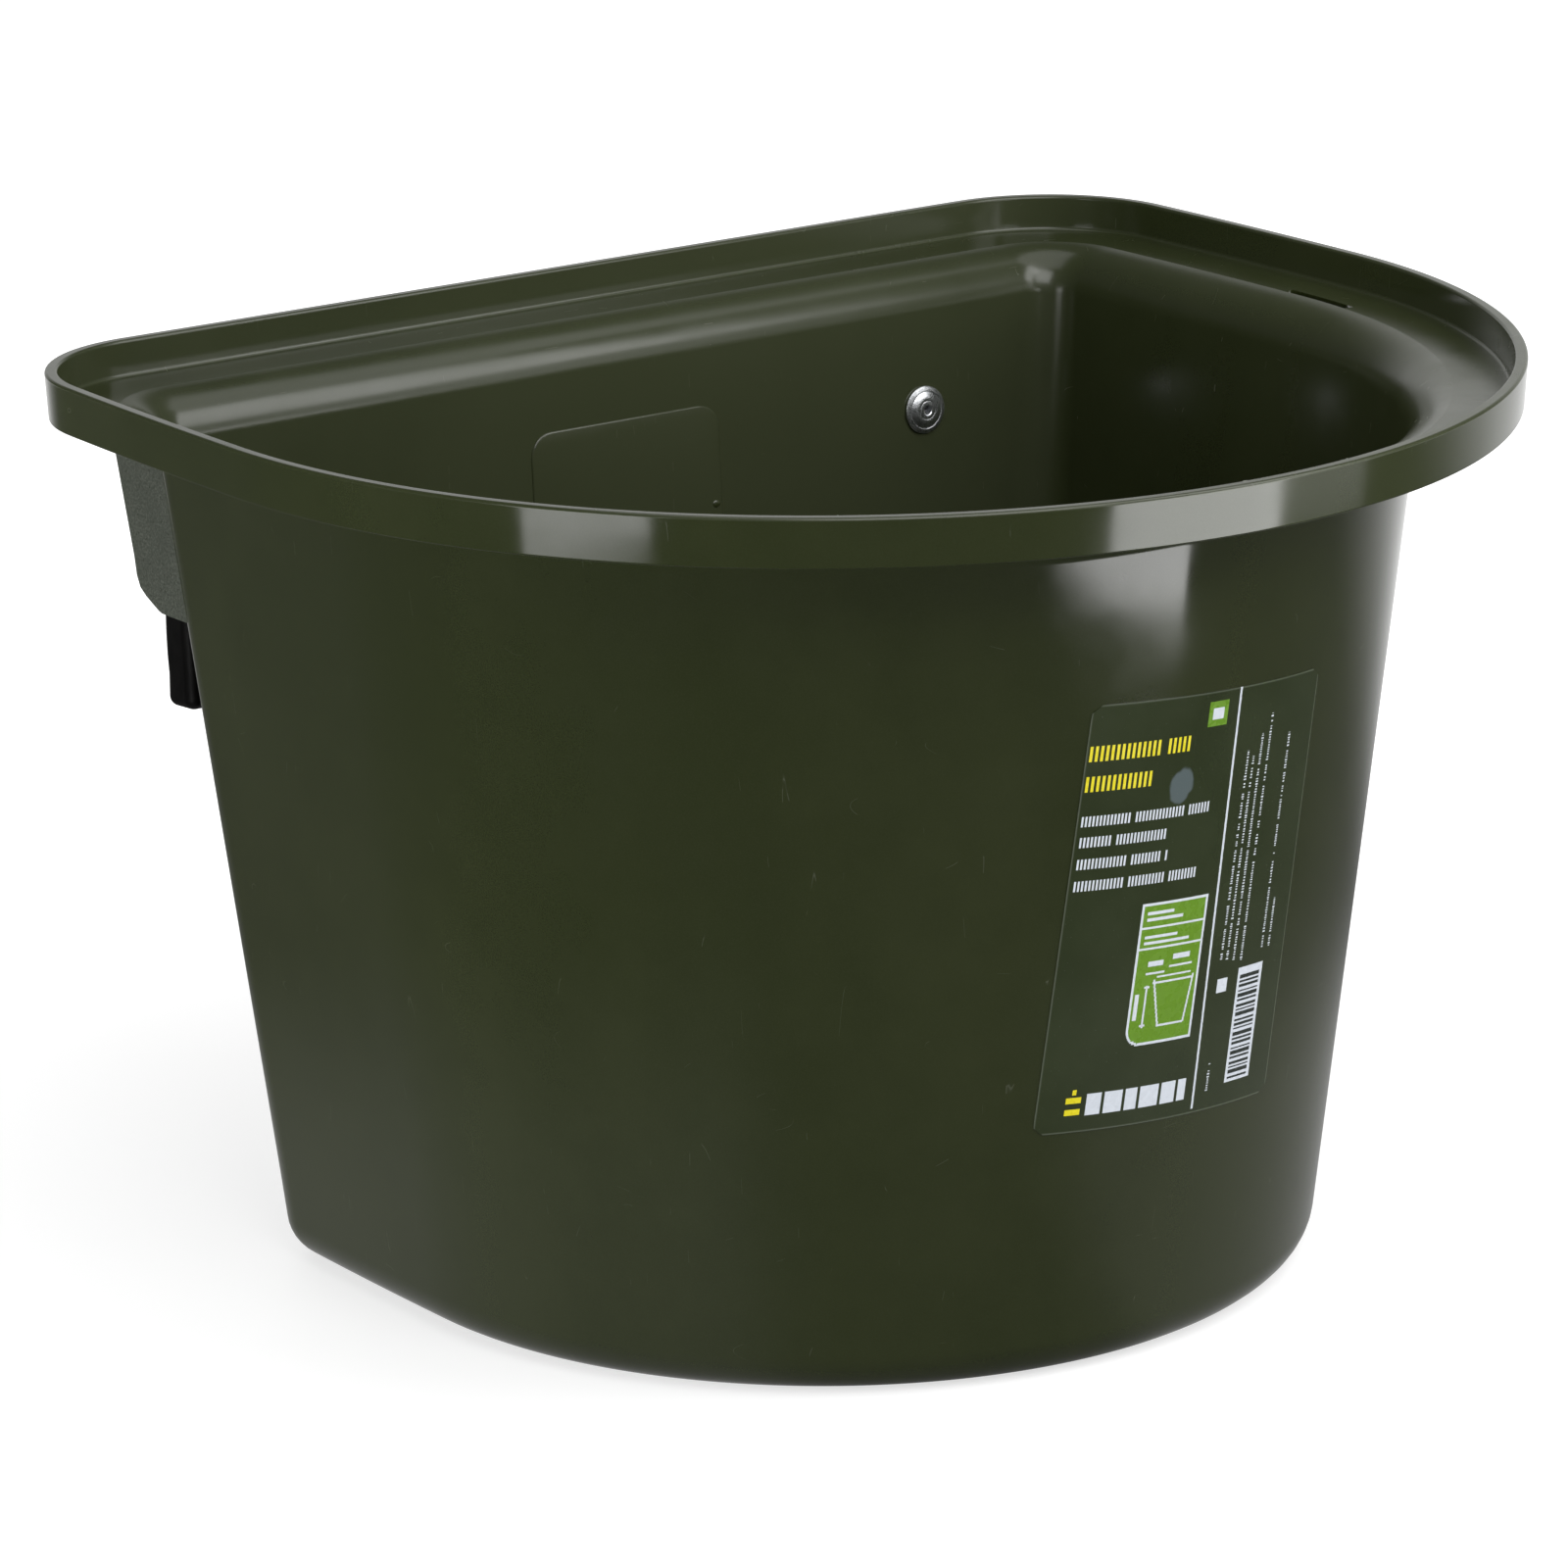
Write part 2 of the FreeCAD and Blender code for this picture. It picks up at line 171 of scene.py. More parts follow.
def open_empty_mesh() -> EditSession:
    """Adds an object with an empty mesh and opens it in edit mode.

    Returns:
        The edit session.
    """
    start_fresh()
    bpy.ops.mesh.primitive_plane_add(size=MM)
    session = EditSession()
    bpy.ops.mesh.select_all(action="SELECT")
    bpy.ops.mesh.delete(type="VERT")
    return session


class Loft:
    """Skin drawn as a first outline and carried from outline to outline by extrusion."""

    def __init__(self, closed: bool) -> None:
        """Starts an empty mesh in edit mode.

        Args:
            closed: Whether each outline runs back to its first point.
        """
        self.session = open_empty_mesh()
        self.closed = closed
        self.rows = 0
        self.last = 0

    def first(self, points: list[Vector]) -> None:
        """Draws the first outline, one vertex after the other, and closes its mouth.

        Args:
            points: The outline's points in metres.
        """
        self.last = len(points) - 1
        bpy.ops.mesh.primitive_plane_add(size=MM, location=points[0])
        bpy.ops.mesh.merge(type="CENTER")
        for point, following in zip(points, points[1:]):
            bpy.ops.mesh.extrude_vertices_move(TRANSFORM_OT_translate={"value": following - point})
        work = self.session.mesh()
        column = work.verts.layers.int.new("column")
        row = work.verts.layers.int.new("row")
        for vert in work.verts:
            vert[column] = min(range(len(points)), key=lambda i: (vert.co - points[i]).length)
            vert[row] = 0
        if self.closed:
            bpy.ops.mesh.select_all(action="DESELECT")
            for vert in work.verts:
                if vert[column] in (0, self.last):
                    vert.select_set(True)
            bmesh.update_edit_mesh(self.session.owner.data)
            bpy.ops.mesh.edge_face_add()
        self.pick_row(0)
        self.fill()

    def fill(self) -> None:
        """Fills the mouth of the selected outline and keeps the outline selected."""
        bpy.ops.mesh.edge_face_add()
        self.pick_row(self.rows)

    def then(self, points: list[Vector]) -> None:
        """Extrudes the selected outline and fits the new one to its points.

        Args:
            points: The new outline, one point for each column.
        """
        bpy.ops.mesh.extrude_region_move(TRANSFORM_OT_translate={"value": (0, 0, 0)})
        self.rows += 1
        work = self.session.mesh()
        column = work.verts.layers.int["column"]
        row = work.verts.layers.int["row"]
        for vert in work.verts:
            if vert.select:
                vert.co = points[vert[column]]
                vert[row] = self.rows
        bmesh.update_edit_mesh(self.session.owner.data)

    def pick_row(self, number: int) -> None:
        """Selects the edges that run along one outline, without a closing edge of an open one.

        Args:
            number: The outline's number, counted from the first.
        """
        bpy.ops.mesh.select_mode(type="EDGE")
        work = self.session.clear()
        column = work.verts.layers.int["column"]
        row = work.verts.layers.int["row"]
        for edge in work.edges:
            closing = {vert[column] for vert in edge.verts} == {0, self.last}
            if all(vert[row] == number for vert in edge.verts) and (self.closed or not closing):
                edge.select_set(True)
        bmesh.update_edit_mesh(self.session.owner.data)

    def end(self) -> None:
        """Leaves edit mode with clean normals and without the working layers."""
        bpy.ops.mesh.select_all(action="SELECT")
        bpy.ops.mesh.remove_doubles(threshold=0.01 * MM)
        bpy.ops.mesh.normals_make_consistent(inside=False)
        self.session.leave()
        mesh = self.session.owner.data
        for layer in ("column", "row"):
            mesh.attributes.remove(mesh.attributes[layer])


def rounded_rectangle(half_width: float, half_depth: float, radius: float,
                      steps: int = 4) -> Outline:
    """Points of a rectangle with round corners, counter-clockwise.

    Args:
        half_width: Half its size along the first axis.
        half_depth: Half its size along the second axis.
        radius: Radius of the corners.
        steps: Pieces in each corner.

    Returns:
        The points, starting at the right edge.
    """
    points = []
    for quarter, (side_u, side_v) in enumerate(((1, 1), (-1, 1), (-1, -1), (1, -1))):
        for i in range(steps + 1):
            angle = math.radians(90 * (quarter + i / steps))
            points.append((side_u * (half_width - radius) + radius * math.cos(angle),
                           side_v * (half_depth - radius) + radius * math.sin(angle)))
    return points


def soften(width: float, angle: float = 35.0, segments: int = 2) -> None:
    """Rounds the active object's edges and shades it smooth.

    Args:
        width: Width of the rounding.
        angle: Edges sharper than this many degrees are rounded.
        segments: Strips in the rounding.
    """
    apply_modifier("BEVEL", width=width * MM, segments=segments, limit_method="ANGLE",
                   angle_limit=math.radians(angle), miter_outer="MITER_ARC")
    bpy.ops.object.shade_smooth_by_angle(angle=math.radians(40))
    apply_modifier("WEIGHTED_NORMAL", keep_sharp=True, weight=60)


# ---- the bucket's shell ----------------------------------------------------------------
@dataclass(frozen=True)
class Level:
    """One outline of the shell: half circle in front, bowed sides, round corners, flat back."""

    radius: float
    back: float
    corner: float
    height: float
    sharp: bool = False


@dataclass
class BucketShell:
    """The moulded shell: rim with lip and ledge, shoulder, drafted wall, rounded bottom."""

    rim_width: float = 390.0
    rim_depth: float = 325.0
    rim_height: float = 260.0
    corner_radius: float = 44.5
    bow_radius: float = 1800.0
    band_height: float = 13.7
    band_draft: float = 0.75
    band_thickness: float = 3.2
    band_edge: float = 0.6
    lip_height: float = 10.4
    lip_base: float = 4.1
    lip_top: float = 3.7
    lip_edge: float = 0.9
    lip_root: float = 1.2
    lip_foot: float = 0.6
    band_root: float = 0.4
    ledge_edge: float = 20.6
    shoulder_radius: float = 14.6
    shoulder_start: float = 8.0
    wall_thickness: float = 2.5
    wall_draft: float = 6.5
    back_draft: float = 3.5
    floor_thickness: float = 3.0
    foot_corner: float = 19.0
    bottom_radius: float = 13.5
    slot_length: float = 28.0
    slot_width: float = 3.2
    slot_ahead: float = 6.0
    front_steps: int = 84
    slot_steps: int = 5
    side_steps: int = 22
    corner_steps: int = 22
    back_steps: int = 18
    wall_steps: int = 16
    arc_steps: int = 7
    foot_steps: int = 10
    least_corner: float = 2.0

    def __post_init__(self) -> None:
        """Works out the sizes that follow."""
        self.front_radius = self.rim_width / 2
        self.arc_y = self.front_radius - self.rim_depth / 2
        self.back_y = self.rim_depth / 2
        self.ledge_z = self.rim_height - self.lip_height
        self.band_z = self.rim_height - self.band_height
        self.draft = math.radians(self.wall_draft)
        self.start = math.radians(self.shoulder_start)
        self.inset = self.wall_thickness / math.cos(self.draft)
        self.under_radius = self.shoulder_radius - self.wall_thickness
        self.shoulder_o = self.ledge_edge - self.shoulder_radius * math.sin(self.start)
        self.shoulder_z = self.ledge_z - self.shoulder_radius * math.cos(self.start)
        self.joint_z = self.shoulder_z + self.under_radius * math.sin(self.draft)
        self.joint_o = self.shoulder_o + self.under_radius * math.cos(self.draft)
        self.under_z = self.shoulder_z + self.under_radius * math.cos(self.start)

    def front_radius_at(self, z: float) -> float:
        """Radius of the outer wall in front at height z."""
        return self.front_radius - self.joint_o - (self.joint_z - z) * math.tan(self.draft)

    def back_y_at(self, z: float) -> float:
        """Outer face of the back wall at height z."""
        return self.back_y - self.joint_o - (self.joint_z - z) * math.tan(math.radians(self.back_draft))

    def rim_level(self, o: float, z: float, sharp: bool = False) -> Level:
        """A level that lies o inside the rim's edge."""
        return Level(self.front_radius - o, self.back_y - o, self.corner_radius - o, z, sharp)

    def wall_level(self, z: float, inset: float) -> Level:
        """A level of the drafted wall, moved inwards by inset.

        Args:
            z: Its height.
            inset: How far it lies inside the outer wall.

        Returns:
            The level.
        """
        top_corner = self.corner_radius - self.joint_o
        corner = self.foot_corner + (top_corner - self.foot_corner) * z / self.joint_z
        return Level(self.front_radius_at(z) - inset, self.back_y_at(z) - inset, corner - inset, z)

    def arc(self, o: float, z: float, radius: float, start: float, stop: float) -> Outline:
        """Points of an arc of the section.

        Args:
            o: Distance of the centre from the rim's edge.
            z: Height of the centre.
            radius: Radius of the arc.
            start: First angle in degrees, from straight inwards towards up.
            stop: Last angle.

        Returns:
            Points (o, z) along the arc, both ends included.
        """
        steps = max(self.arc_steps, int(abs(stop - start) * radius / 90))
        points = []
        for i in range(steps + 1):
            angle = math.radians(start + (stop - start) * i / steps)
            points.append((o + radius * math.cos(angle), z + radius * math.sin(angle)))
        return points

    def foot_levels(self, low: float, inset: float, radius: float) -> list[Level]:
        """Levels of a rounded foot, from the flat bottom up to the wall.

        Args:
            low: Height of the flat bottom.
            inset: How far the wall lies inside the outer wall.
            radius: Radius of the rounding.

        Returns:
            The levels, lowest first.
        """
        levels = []
        centre_z = low + radius
        base = self.wall_level(centre_z, inset)
        for i in range(self.foot_steps + 1):
            share = i / self.foot_steps
            outer = []
            for draft in (self.wall_draft, self.back_draft):
                angle = math.radians(-90 + share * (90 - draft))
                reach = radius * (math.cos(angle) - 1 / math.cos(math.radians(draft)))
                outer.append((reach, centre_z + radius * math.sin(angle)))
            (front, z), (back, _) = outer
            corner = max(base.corner + front, self.least_corner)
            levels.append(Level(base.radius + front, base.back + back, corner, z))
        return levels

    def levels(self) -> list[Level]:
        """All outlines of the shell, from the outer bottom over the rim to the inner floor.

        Returns:
            The levels in the order of drawing.
        """
        top, ledge = self.rim_height, self.ledge_z
        outer_foot = self.foot_levels(0, 0, self.bottom_radius)
        inner_foot = self.foot_levels(self.floor_thickness, self.inset,
                                      self.bottom_radius - self.wall_thickness)
        low, high = outer_foot[-1].height, self.joint_z
        outer_wall = [self.wall_level(low + (high - low) * i / self.wall_steps, 0)
                      for i in range(1, self.wall_steps)]
        slot_o = self.ledge_edge - self.slot_width
        root, step = self.band_draft + self.band_thickness, self.band_root
        edge, lip = self.band_edge, self.lip_edge
        flat = 90 - self.shoulder_start
        rim = self.arc(self.shoulder_o, self.shoulder_z, self.under_radius, self.wall_draft, flat)
        rim += [(slot_o, self.under_z), (root + step, self.under_z), (root, self.under_z - step),
                (root, self.band_z + edge)]
        rim += self.arc(root - edge, self.band_z + edge, edge, 0, -90)
        rim += self.arc(self.band_draft + edge, self.band_z + edge, edge, 270, 180)
        rim.append((self.band_draft / 2, (top + self.band_z) / 2))
        rim += self.arc(lip, top - lip, lip, 180, 90)
        rim += self.arc(self.lip_top - lip, top - lip, lip, 90, 0)
        rim += self.arc(self.lip_base + self.lip_root, ledge + self.lip_root, self.lip_root, 180, 270)
        rim += [(self.lip_base + self.lip_root + self.lip_foot, ledge), (slot_o, ledge)]
        shoulder = self.arc(self.shoulder_o, self.shoulder_z, self.shoulder_radius, flat, self.wall_draft)[1:]
        low = inner_foot[-1].height
        inner_wall = [self.wall_level(low + (high - low) * i / self.wall_steps, self.inset)
                      for i in range(self.wall_steps - 1, 0, -1)]
        return (outer_foot + outer_wall + [self.rim_level(o, z) for o, z in rim]
                + [self.rim_level(self.ledge_edge, ledge, sharp=True)]
                + [self.rim_level(o, z) for o, z in shoulder] + inner_wall + inner_foot[::-1])

    def outline(self, level: Level) -> list[Vector]:
        """Points of half an outline, from the front's middle round to the back's middle.

        Args:
            level: The outline's sizes.

        Returns:
            One point in metres for each column of the mesh.
        """
        side_x = level.radius - self.bow_radius
        y = level.back - level.corner
        x = side_x + math.sqrt((self.bow_radius - level.corner) ** 2 - (y - self.arc_y) ** 2)
        turn = math.atan2(y - self.arc_y, x - side_x)
        slot_front = (self.slot_length / 2 + self.slot_ahead) / (self.front_radius - self.ledge_edge)
        slot_back = (self.slot_length / 2 - self.slot_ahead) / self.bow_radius
        quarter = math.pi / 2
        stretches = [
            (0, level.radius, -quarter, -slot_front, self.front_steps, self.arc_y),
            (0, level.radius, -slot_front, 0, self.slot_steps, self.arc_y),
            (side_x, self.bow_radius, 0, slot_back, 2, self.arc_y),
            (side_x, self.bow_radius, slot_back, turn, self.side_steps, self.arc_y),
            (x, level.corner, turn, quarter, self.corner_steps, y),
        ]
        points = [(0, self.arc_y - level.radius)]
        for middle_x, radius, first, last, steps, middle_y in stretches:
            for i in range(1, steps + 1):
                angle = first + (last - first) * i / steps
                points.append((middle_x + radius * math.cos(angle), middle_y + radius * math.sin(angle)))
        points += [(x * (1 - i / self.back_steps), level.back) for i in range(1, self.back_steps + 1)]
        return [Vector(metres(px, py, level.height)) for px, py in points]

    def cut_slot(self, session: EditSession) -> None:
        """Opens the narrow slot through the ledge and joins its two mouths.

        Args:
            session: Edit session on the shell's mesh.
        """
        inner = self.front_radius - self.ledge_edge
        low_y = self.arc_y - (self.slot_length / 2 + self.slot_ahead)
        high_y = self.arc_y + (self.slot_length / 2 - self.slot_ahead)

        def in_slot(middle: Vector, normal: Vector) -> bool:
            """Tells whether a face covers the slot."""
            return (low_y < middle.y < high_y and inner < middle.x < inner + self.slot_width
                    and self.under_z - 1 < middle.z < self.ledge_z + 0.1 and abs(normal.z) > 0.9)

        session.pick_faces(in_slot)
        bpy.ops.mesh.delete(type="FACE")
        session.clear()
        bpy.ops.mesh.select_mode(type="EDGE")
        bpy.ops.mesh.select_non_manifold(extend=False, use_wire=False, use_boundary=True,
                                         use_multi_face=False, use_non_contiguous=False, use_verts=False)
        for edge in session.mesh().edges:
            one, other = (vert.co for vert in edge.verts)
            elsewhere = (min(one.x, other.x) / MM < inner - 1 or one.y / MM > high_y + 1
                         or one.y / MM < low_y - 1)
            if edge.select and elsewhere:
                edge.select_set(False)
        bmesh.update_edit_mesh(session.owner.data)
        bpy.ops.mesh.mark_sharp()
        bpy.ops.mesh.bridge_edge_loops()

    def build(self, material: bpy.types.Material) -> bpy.types.Object:
        """Models the shell and dresses it.

        Args:
            material: The moulded plastic.

        Returns:
            The shell's object.
        """
        levels = self.levels()
        loft = Loft(closed=False)
        loft.first(self.outline(levels[0]))
        for level in levels[1:]:
            loft.then(self.outline(level))
        loft.fill()
        for number, level in enumerate(levels):
            if level.sharp:
                loft.pick_row(number)
                bpy.ops.mesh.mark_sharp()
        self.cut_slot(loft.session)
        loft.end()
        apply_modifier("MIRROR", use_clip=True, merge_threshold=0.01 * MM)
        bpy.ops.object.shade_smooth()
        apply_modifier("WEIGHTED_NORMAL", keep_sharp=True, weight=60)
        return finish_piece("moulded_shell", material, ("bucket_shell",))


# ---- moulded details of the shell ------------------------------------------------------
@dataclass
class GussetFin:
    """Fin behind the rim's end that carries the rim and stands the back off the board."""

    shell: BucketShell
    side: Side
    thickness: float = 3.2
    inset: float = 9.0
    rim_setback: float = 3.6
    knee_height: float = 192.0
    knee_standoff: float = 17.0
    foot_height: float = 187.0
    foot_standoff: float = 5.0
    embedded: float = 1.3
    slope_start: float = 236.0
    steps: int = 9

    def wall_y(self, level: Level, x: float) -> float:
        """Y of the round corner of an outline where it passes the plane X = x.

        Args:
            level: The outline.
            x: Place of the plane.

        Returns:
            The place along Y.
        """
        side_x = level.radius - self.shell.bow_radius
        y = level.back - level.corner
        centre = side_x + math.sqrt((self.shell.bow_radius - level.corner) ** 2 - (y - self.shell.arc_y) ** 2)
        return y + math.sqrt(max(level.corner ** 2 - (x - centre) ** 2, 1.0))

    def outline(self, x: float) -> list[Vector]:
        """Outline of the fin in the plane X = x, from its foot up along the wall and back down.

        Args:
            x: Place of the plane on the right half.

        Returns:
            Its points in metres.
        """
        shell = self.shell
        inner = []
        for i in range(self.steps + 1):
            z = self.foot_height + (shell.joint_z - self.foot_height) * i / self.steps
            inner.append((self.wall_y(shell.wall_level(z, self.embedded), x), z))
        middle = shell.shoulder_radius - shell.wall_thickness / 2
        for o, z in shell.arc(shell.shoulder_o, shell.shoulder_z, middle, 18, 78):
            inner.append((self.wall_y(shell.rim_level(o, z), x), z))
        rim_y = shell.back_y - self.rim_setback
        outer = [(rim_y, shell.under_z + 0.6), (rim_y, shell.band_z), (rim_y - 0.8, self.slope_start)]
        knee = shell.back_y_at(self.knee_height) + self.knee_standoff
        outer += [(knee + out, self.knee_height + up)
                  for out, up in ((1.6, 9.0), (0.5, 3.6), (-1.2, 0.4), (-4.2, -1.6))]
        foot = shell.back_y_at(self.foot_height) + self.foot_standoff
        outer += [(foot + 1.8, self.foot_height + 0.5), (foot, self.foot_height)]
        return [Vector(metres(x * self.side.value, y, z)) for y, z in inner + outer]

    def build(self, material: bpy.types.Material) -> bpy.types.Object:
        """Extrudes the fin across its thickness and rounds its edges.

        Args:
            material: The matt plastic.

        Returns:
            The fin's object.
        """
        outer_x = self.shell.front_radius_at(self.shell.joint_z) - self.inset
        loft = Loft(closed=True)
        loft.first(self.outline(outer_x - self.thickness))
        loft.then(self.outline(outer_x))
        loft.fill()
        loft.end()
        soften(0.35, 30)
        return finish_piece(f"{self.side.label}_gusset_fin", material)


@dataclass
class InnerPanel:
    """Faint raised panel inside the back wall, with a small round bump beside its middle."""

    shell: BucketShell
    width: float = 66.0
    height: float = 62.0
    corner: float = 7.0
    rise: float = 0.35
    below_rim: float = 39.5
    bump: Triple = (31.0, 191.0, 1.6)

    def build(self, material: bpy.types.Material) -> bpy.types.Object:
        """Models the panel and its bump and sets both on the inner wall.

        Args:
            material: The moulded plastic.

        Returns:
            The panel's object.
        """
        shell = self.shell
        middle_z = shell.rim_height - self.below_rim - self.height / 2
        points = rounded_rectangle(self.width / 2, self.height / 2, self.corner, 6)

        def ring(depth: float, grow: float) -> list[Vector]:
            """Outline of the panel.

            Args:
                depth: How far it stands off the inner wall.
                grow: Share by which it is wider than the panel.

            Returns:
                Its points in metres.
            """
            placed = []
            for u, v in points:
                z = middle_z + v * (1 + grow)
                y = shell.back_y_at(z) - shell.inset - depth
                placed.append(Vector(metres(u * (1 + grow), y, z)))
            return placed

        loft = Loft(closed=True)
        loft.first(ring(-0.8, 0.012))
        for depth, grow in ((0.0, 0.010), (self.rise * 0.7, 0.006), (self.rise, -0.006)):
            loft.then(ring(depth, grow))
        loft.fill()
        x, z, radius = self.bump
        bpy.ops.mesh.select_all(action="DESELECT")
        place = metres(x, shell.back_y_at(z) - shell.inset, z)
        bpy.ops.mesh.primitive_uv_sphere_add(segments=20, ring_count=12, radius=radius * MM, location=place)
        bpy.ops.transform.resize(value=(1, 0.45, 0.8), center_override=place)
        loft.end()
        bpy.ops.object.shade_smooth_by_angle(angle=math.radians(50))
        return finish_piece("inner_panel", material)


@dataclass
class TrimmingBurrs:
    """Tiny burrs left along the inner edge of the lip when it was trimmed."""

    shell: BucketShell
    angles: tuple[float, ...] = (-135.4, -127.0, -125.9, -92.3, -81.5, -107.0)
    size: float = 0.95
    outwards: float = 0.5
    below_top: float = 0.8
    ragged: float = 0.09
    seed: int = 7

    def build(self, material: bpy.types.Material) -> bpy.types.Object:
        """Draws each burr as a small pulled-out crumb on the lip's edge.

        Args:
            material: The whitened plastic.

        Returns:
            The burrs' object.
        """
        start_fresh()
        dice = random.Random(self.seed)
        bpy.ops.mesh.primitive_ico_sphere_add(subdivisions=2, radius=0.1 * MM)
        session = EditSession()
        bpy.ops.mesh.select_all(action="SELECT")
        bpy.ops.mesh.delete(type="VERT")
        radius = self.shell.front_radius - self.shell.lip_top + self.outwards
        for angle in self.angles:
            turn = math.radians(angle)
            place = metres(radius * math.cos(turn), self.shell.arc_y + radius * math.sin(turn),
                           self.shell.rim_height - self.below_top)
            size = self.size * dice.uniform(0.7, 1.3)
            bpy.ops.mesh.primitive_ico_sphere_add(subdivisions=2, radius=size * MM, location=place)
            stretch = (dice.uniform(0.8, 1.8), dice.uniform(0.7, 1.1), dice.uniform(0.5, 0.8))
            bpy.ops.transform.resize(value=stretch, center_override=place)
            for vert in session.mesh().verts:
                if vert.select:
                    vert.co += Vector([dice.uniform(-self.ragged, self.ragged) * MM for _ in range(3)])
            bmesh.update_edit_mesh(session.owner.data)
            bpy.ops.mesh.select_all(action="DESELECT")
        session.leave()
        bpy.ops.object.shade_smooth()
        return finish_piece("trimming_burrs", material)


# ---- hook straps, sleeves and rivets ---------------------------------------------------
@dataclass
class HookStrap:
    """Flat steel strap: up the back wall, out under the rim and down behind the board."""

    shell: BucketShell
    side: Side
    spacing: float = 220.0
    width: float = 20.0
    thickness: float = 4.0
    below_rivet: float = 13.0
    bend: float = 8.0
    wall_end: float = 9.0
    tip_end: float = 4.0
    rim_clearance: float = 0.3
    leg_distance: float = 54.0
    leg_end: float = 147.0
    rivet_height: float = 207.4
    edge: float = 0.5
    narrowest: float = 1.2
    bend_steps: int = 12

    def corners(self) -> list[Vector]:
        """Corner points of the strap's middle line in the YZ plane, in millimetres.

        Returns:
            The wall end, the two bends' corners and the tip.
        """
        half = self.thickness / 2
        tilt = math.radians(self.shell.back_draft)
        low_z = self.rivet_height - self.below_rivet
        top_z = self.shell.band_z - self.rim_clearance - half
        return [Vector((0, self.shell.back_y_at(low_z) + half / math.cos(tilt), low_z)),
                Vector((0, self.shell.back_y_at(top_z) + half / math.cos(tilt), top_z)),
                Vector((0, self.shell.back_y_at(top_z) + self.leg_distance, top_z)),
                Vector((0, self.shell.back_y_at(self.leg_end) + self.leg_distance, self.leg_end))]

    def path(self) -> list[tuple[Vector, Vector]]:
        """Stations of the middle line with its direction, the bends rounded.

        Returns:
            Pairs of place and direction, from the wall end to the tip.
        """
        first, rise, fall, last = self.corners()
        radius = self.bend + self.thickness / 2
        stations = []

        def straight(start: Vector, stop: Vector, shares: tuple[float, ...]) -> None:
            """Adds stations along a straight run.

            Args:
                start: Where the run starts.
                stop: Where it stops.
                shares: Places of the stations along it, from 0 to 1.
            """
            ahead = (stop - start).normalized()
            for share in shares:
                stations.append((start.lerp(stop, share), ahead))

        def bend(corner: Vector, before: Vector, after: Vector) -> None:
            """Adds stations round a bend.

            Args:
                corner: The corner that the bend rounds.
                before: A point on the run before it.
                after: A point on the run after it.
            """
            into, away = (corner - before).normalized(), (after - corner).normalized()
            turn = math.acos(into.dot(away))
            cut = radius * math.tan(turn / 2)
            middle = corner - into * cut + (away - into * into.dot(away)).normalized() * radius
            start = corner - into * cut - middle
            for i in range(self.bend_steps + 1):
                angle = turn * i / self.bend_steps
                spoke = start * math.cos(angle) + into * radius * math.sin(angle)
                stations.append((middle + spoke, into * math.cos(angle) - start / radius * math.sin(angle)))

        straight(first, rise - (rise - first).normalized() * radius,
                 (0.0, 0.012, 0.04, 0.09, 0.15, 0.21, 0.4, 0.6))
        bend(rise, first, fall)
        bend(fall, rise, last)
        straight(stations[-1][0], last, (0.1, 0.5, 0.9, 0.96, 0.98, 0.99, 0.997, 1.0))
        return stations

    def build(self, material: bpy.types.Material) -> bpy.types.Object:
        """Carries the strap's section along its path, with round ends.

        Args:
            material: The coated steel.

        Returns:
            The strap's object.
        """
        stations = self.path()
        lengths = [0.0]
        for (point, _), (following, _) in zip(stations, stations[1:]):
            lengths.append(lengths[-1] + (following - point).length)
        across = Vector((1, 0, 0))
        loft = Loft(closed=True)
        for number, ((point, ahead), run) in enumerate(zip(stations, lengths)):
            half = self.width / 2
            for end, reach in ((self.wall_end, run), (self.tip_end, lengths[-1] - run)):
                if reach < end:
                    round_end = math.sqrt(max(end ** 2 - (end - reach) ** 2, 0))
                    half = min(half, self.width / 2 - end + round_end)
            half = max(half, self.narrowest)
            section = rounded_rectangle(half, self.thickness / 2, min(self.edge, half * 0.4), 3)
            side = ahead.cross(across)
            middle = point + across * (self.side.value * self.spacing / 2)
            ring = [(middle + across * u + side * v) * MM for u, v in section]
            if number == 0:
                loft.first(ring)
            else:
                loft.then(ring)
        loft.fill()
        loft.end()
        bpy.ops.object.shade_smooth_by_angle(angle=math.radians(40))
        apply_modifier("WEIGHTED_NORMAL", keep_sharp=True, weight=60)
        name = f"{self.side.label}_hook_strap"
        return finish_piece(f"{self.side.label}_steel_strap", material, (name,))


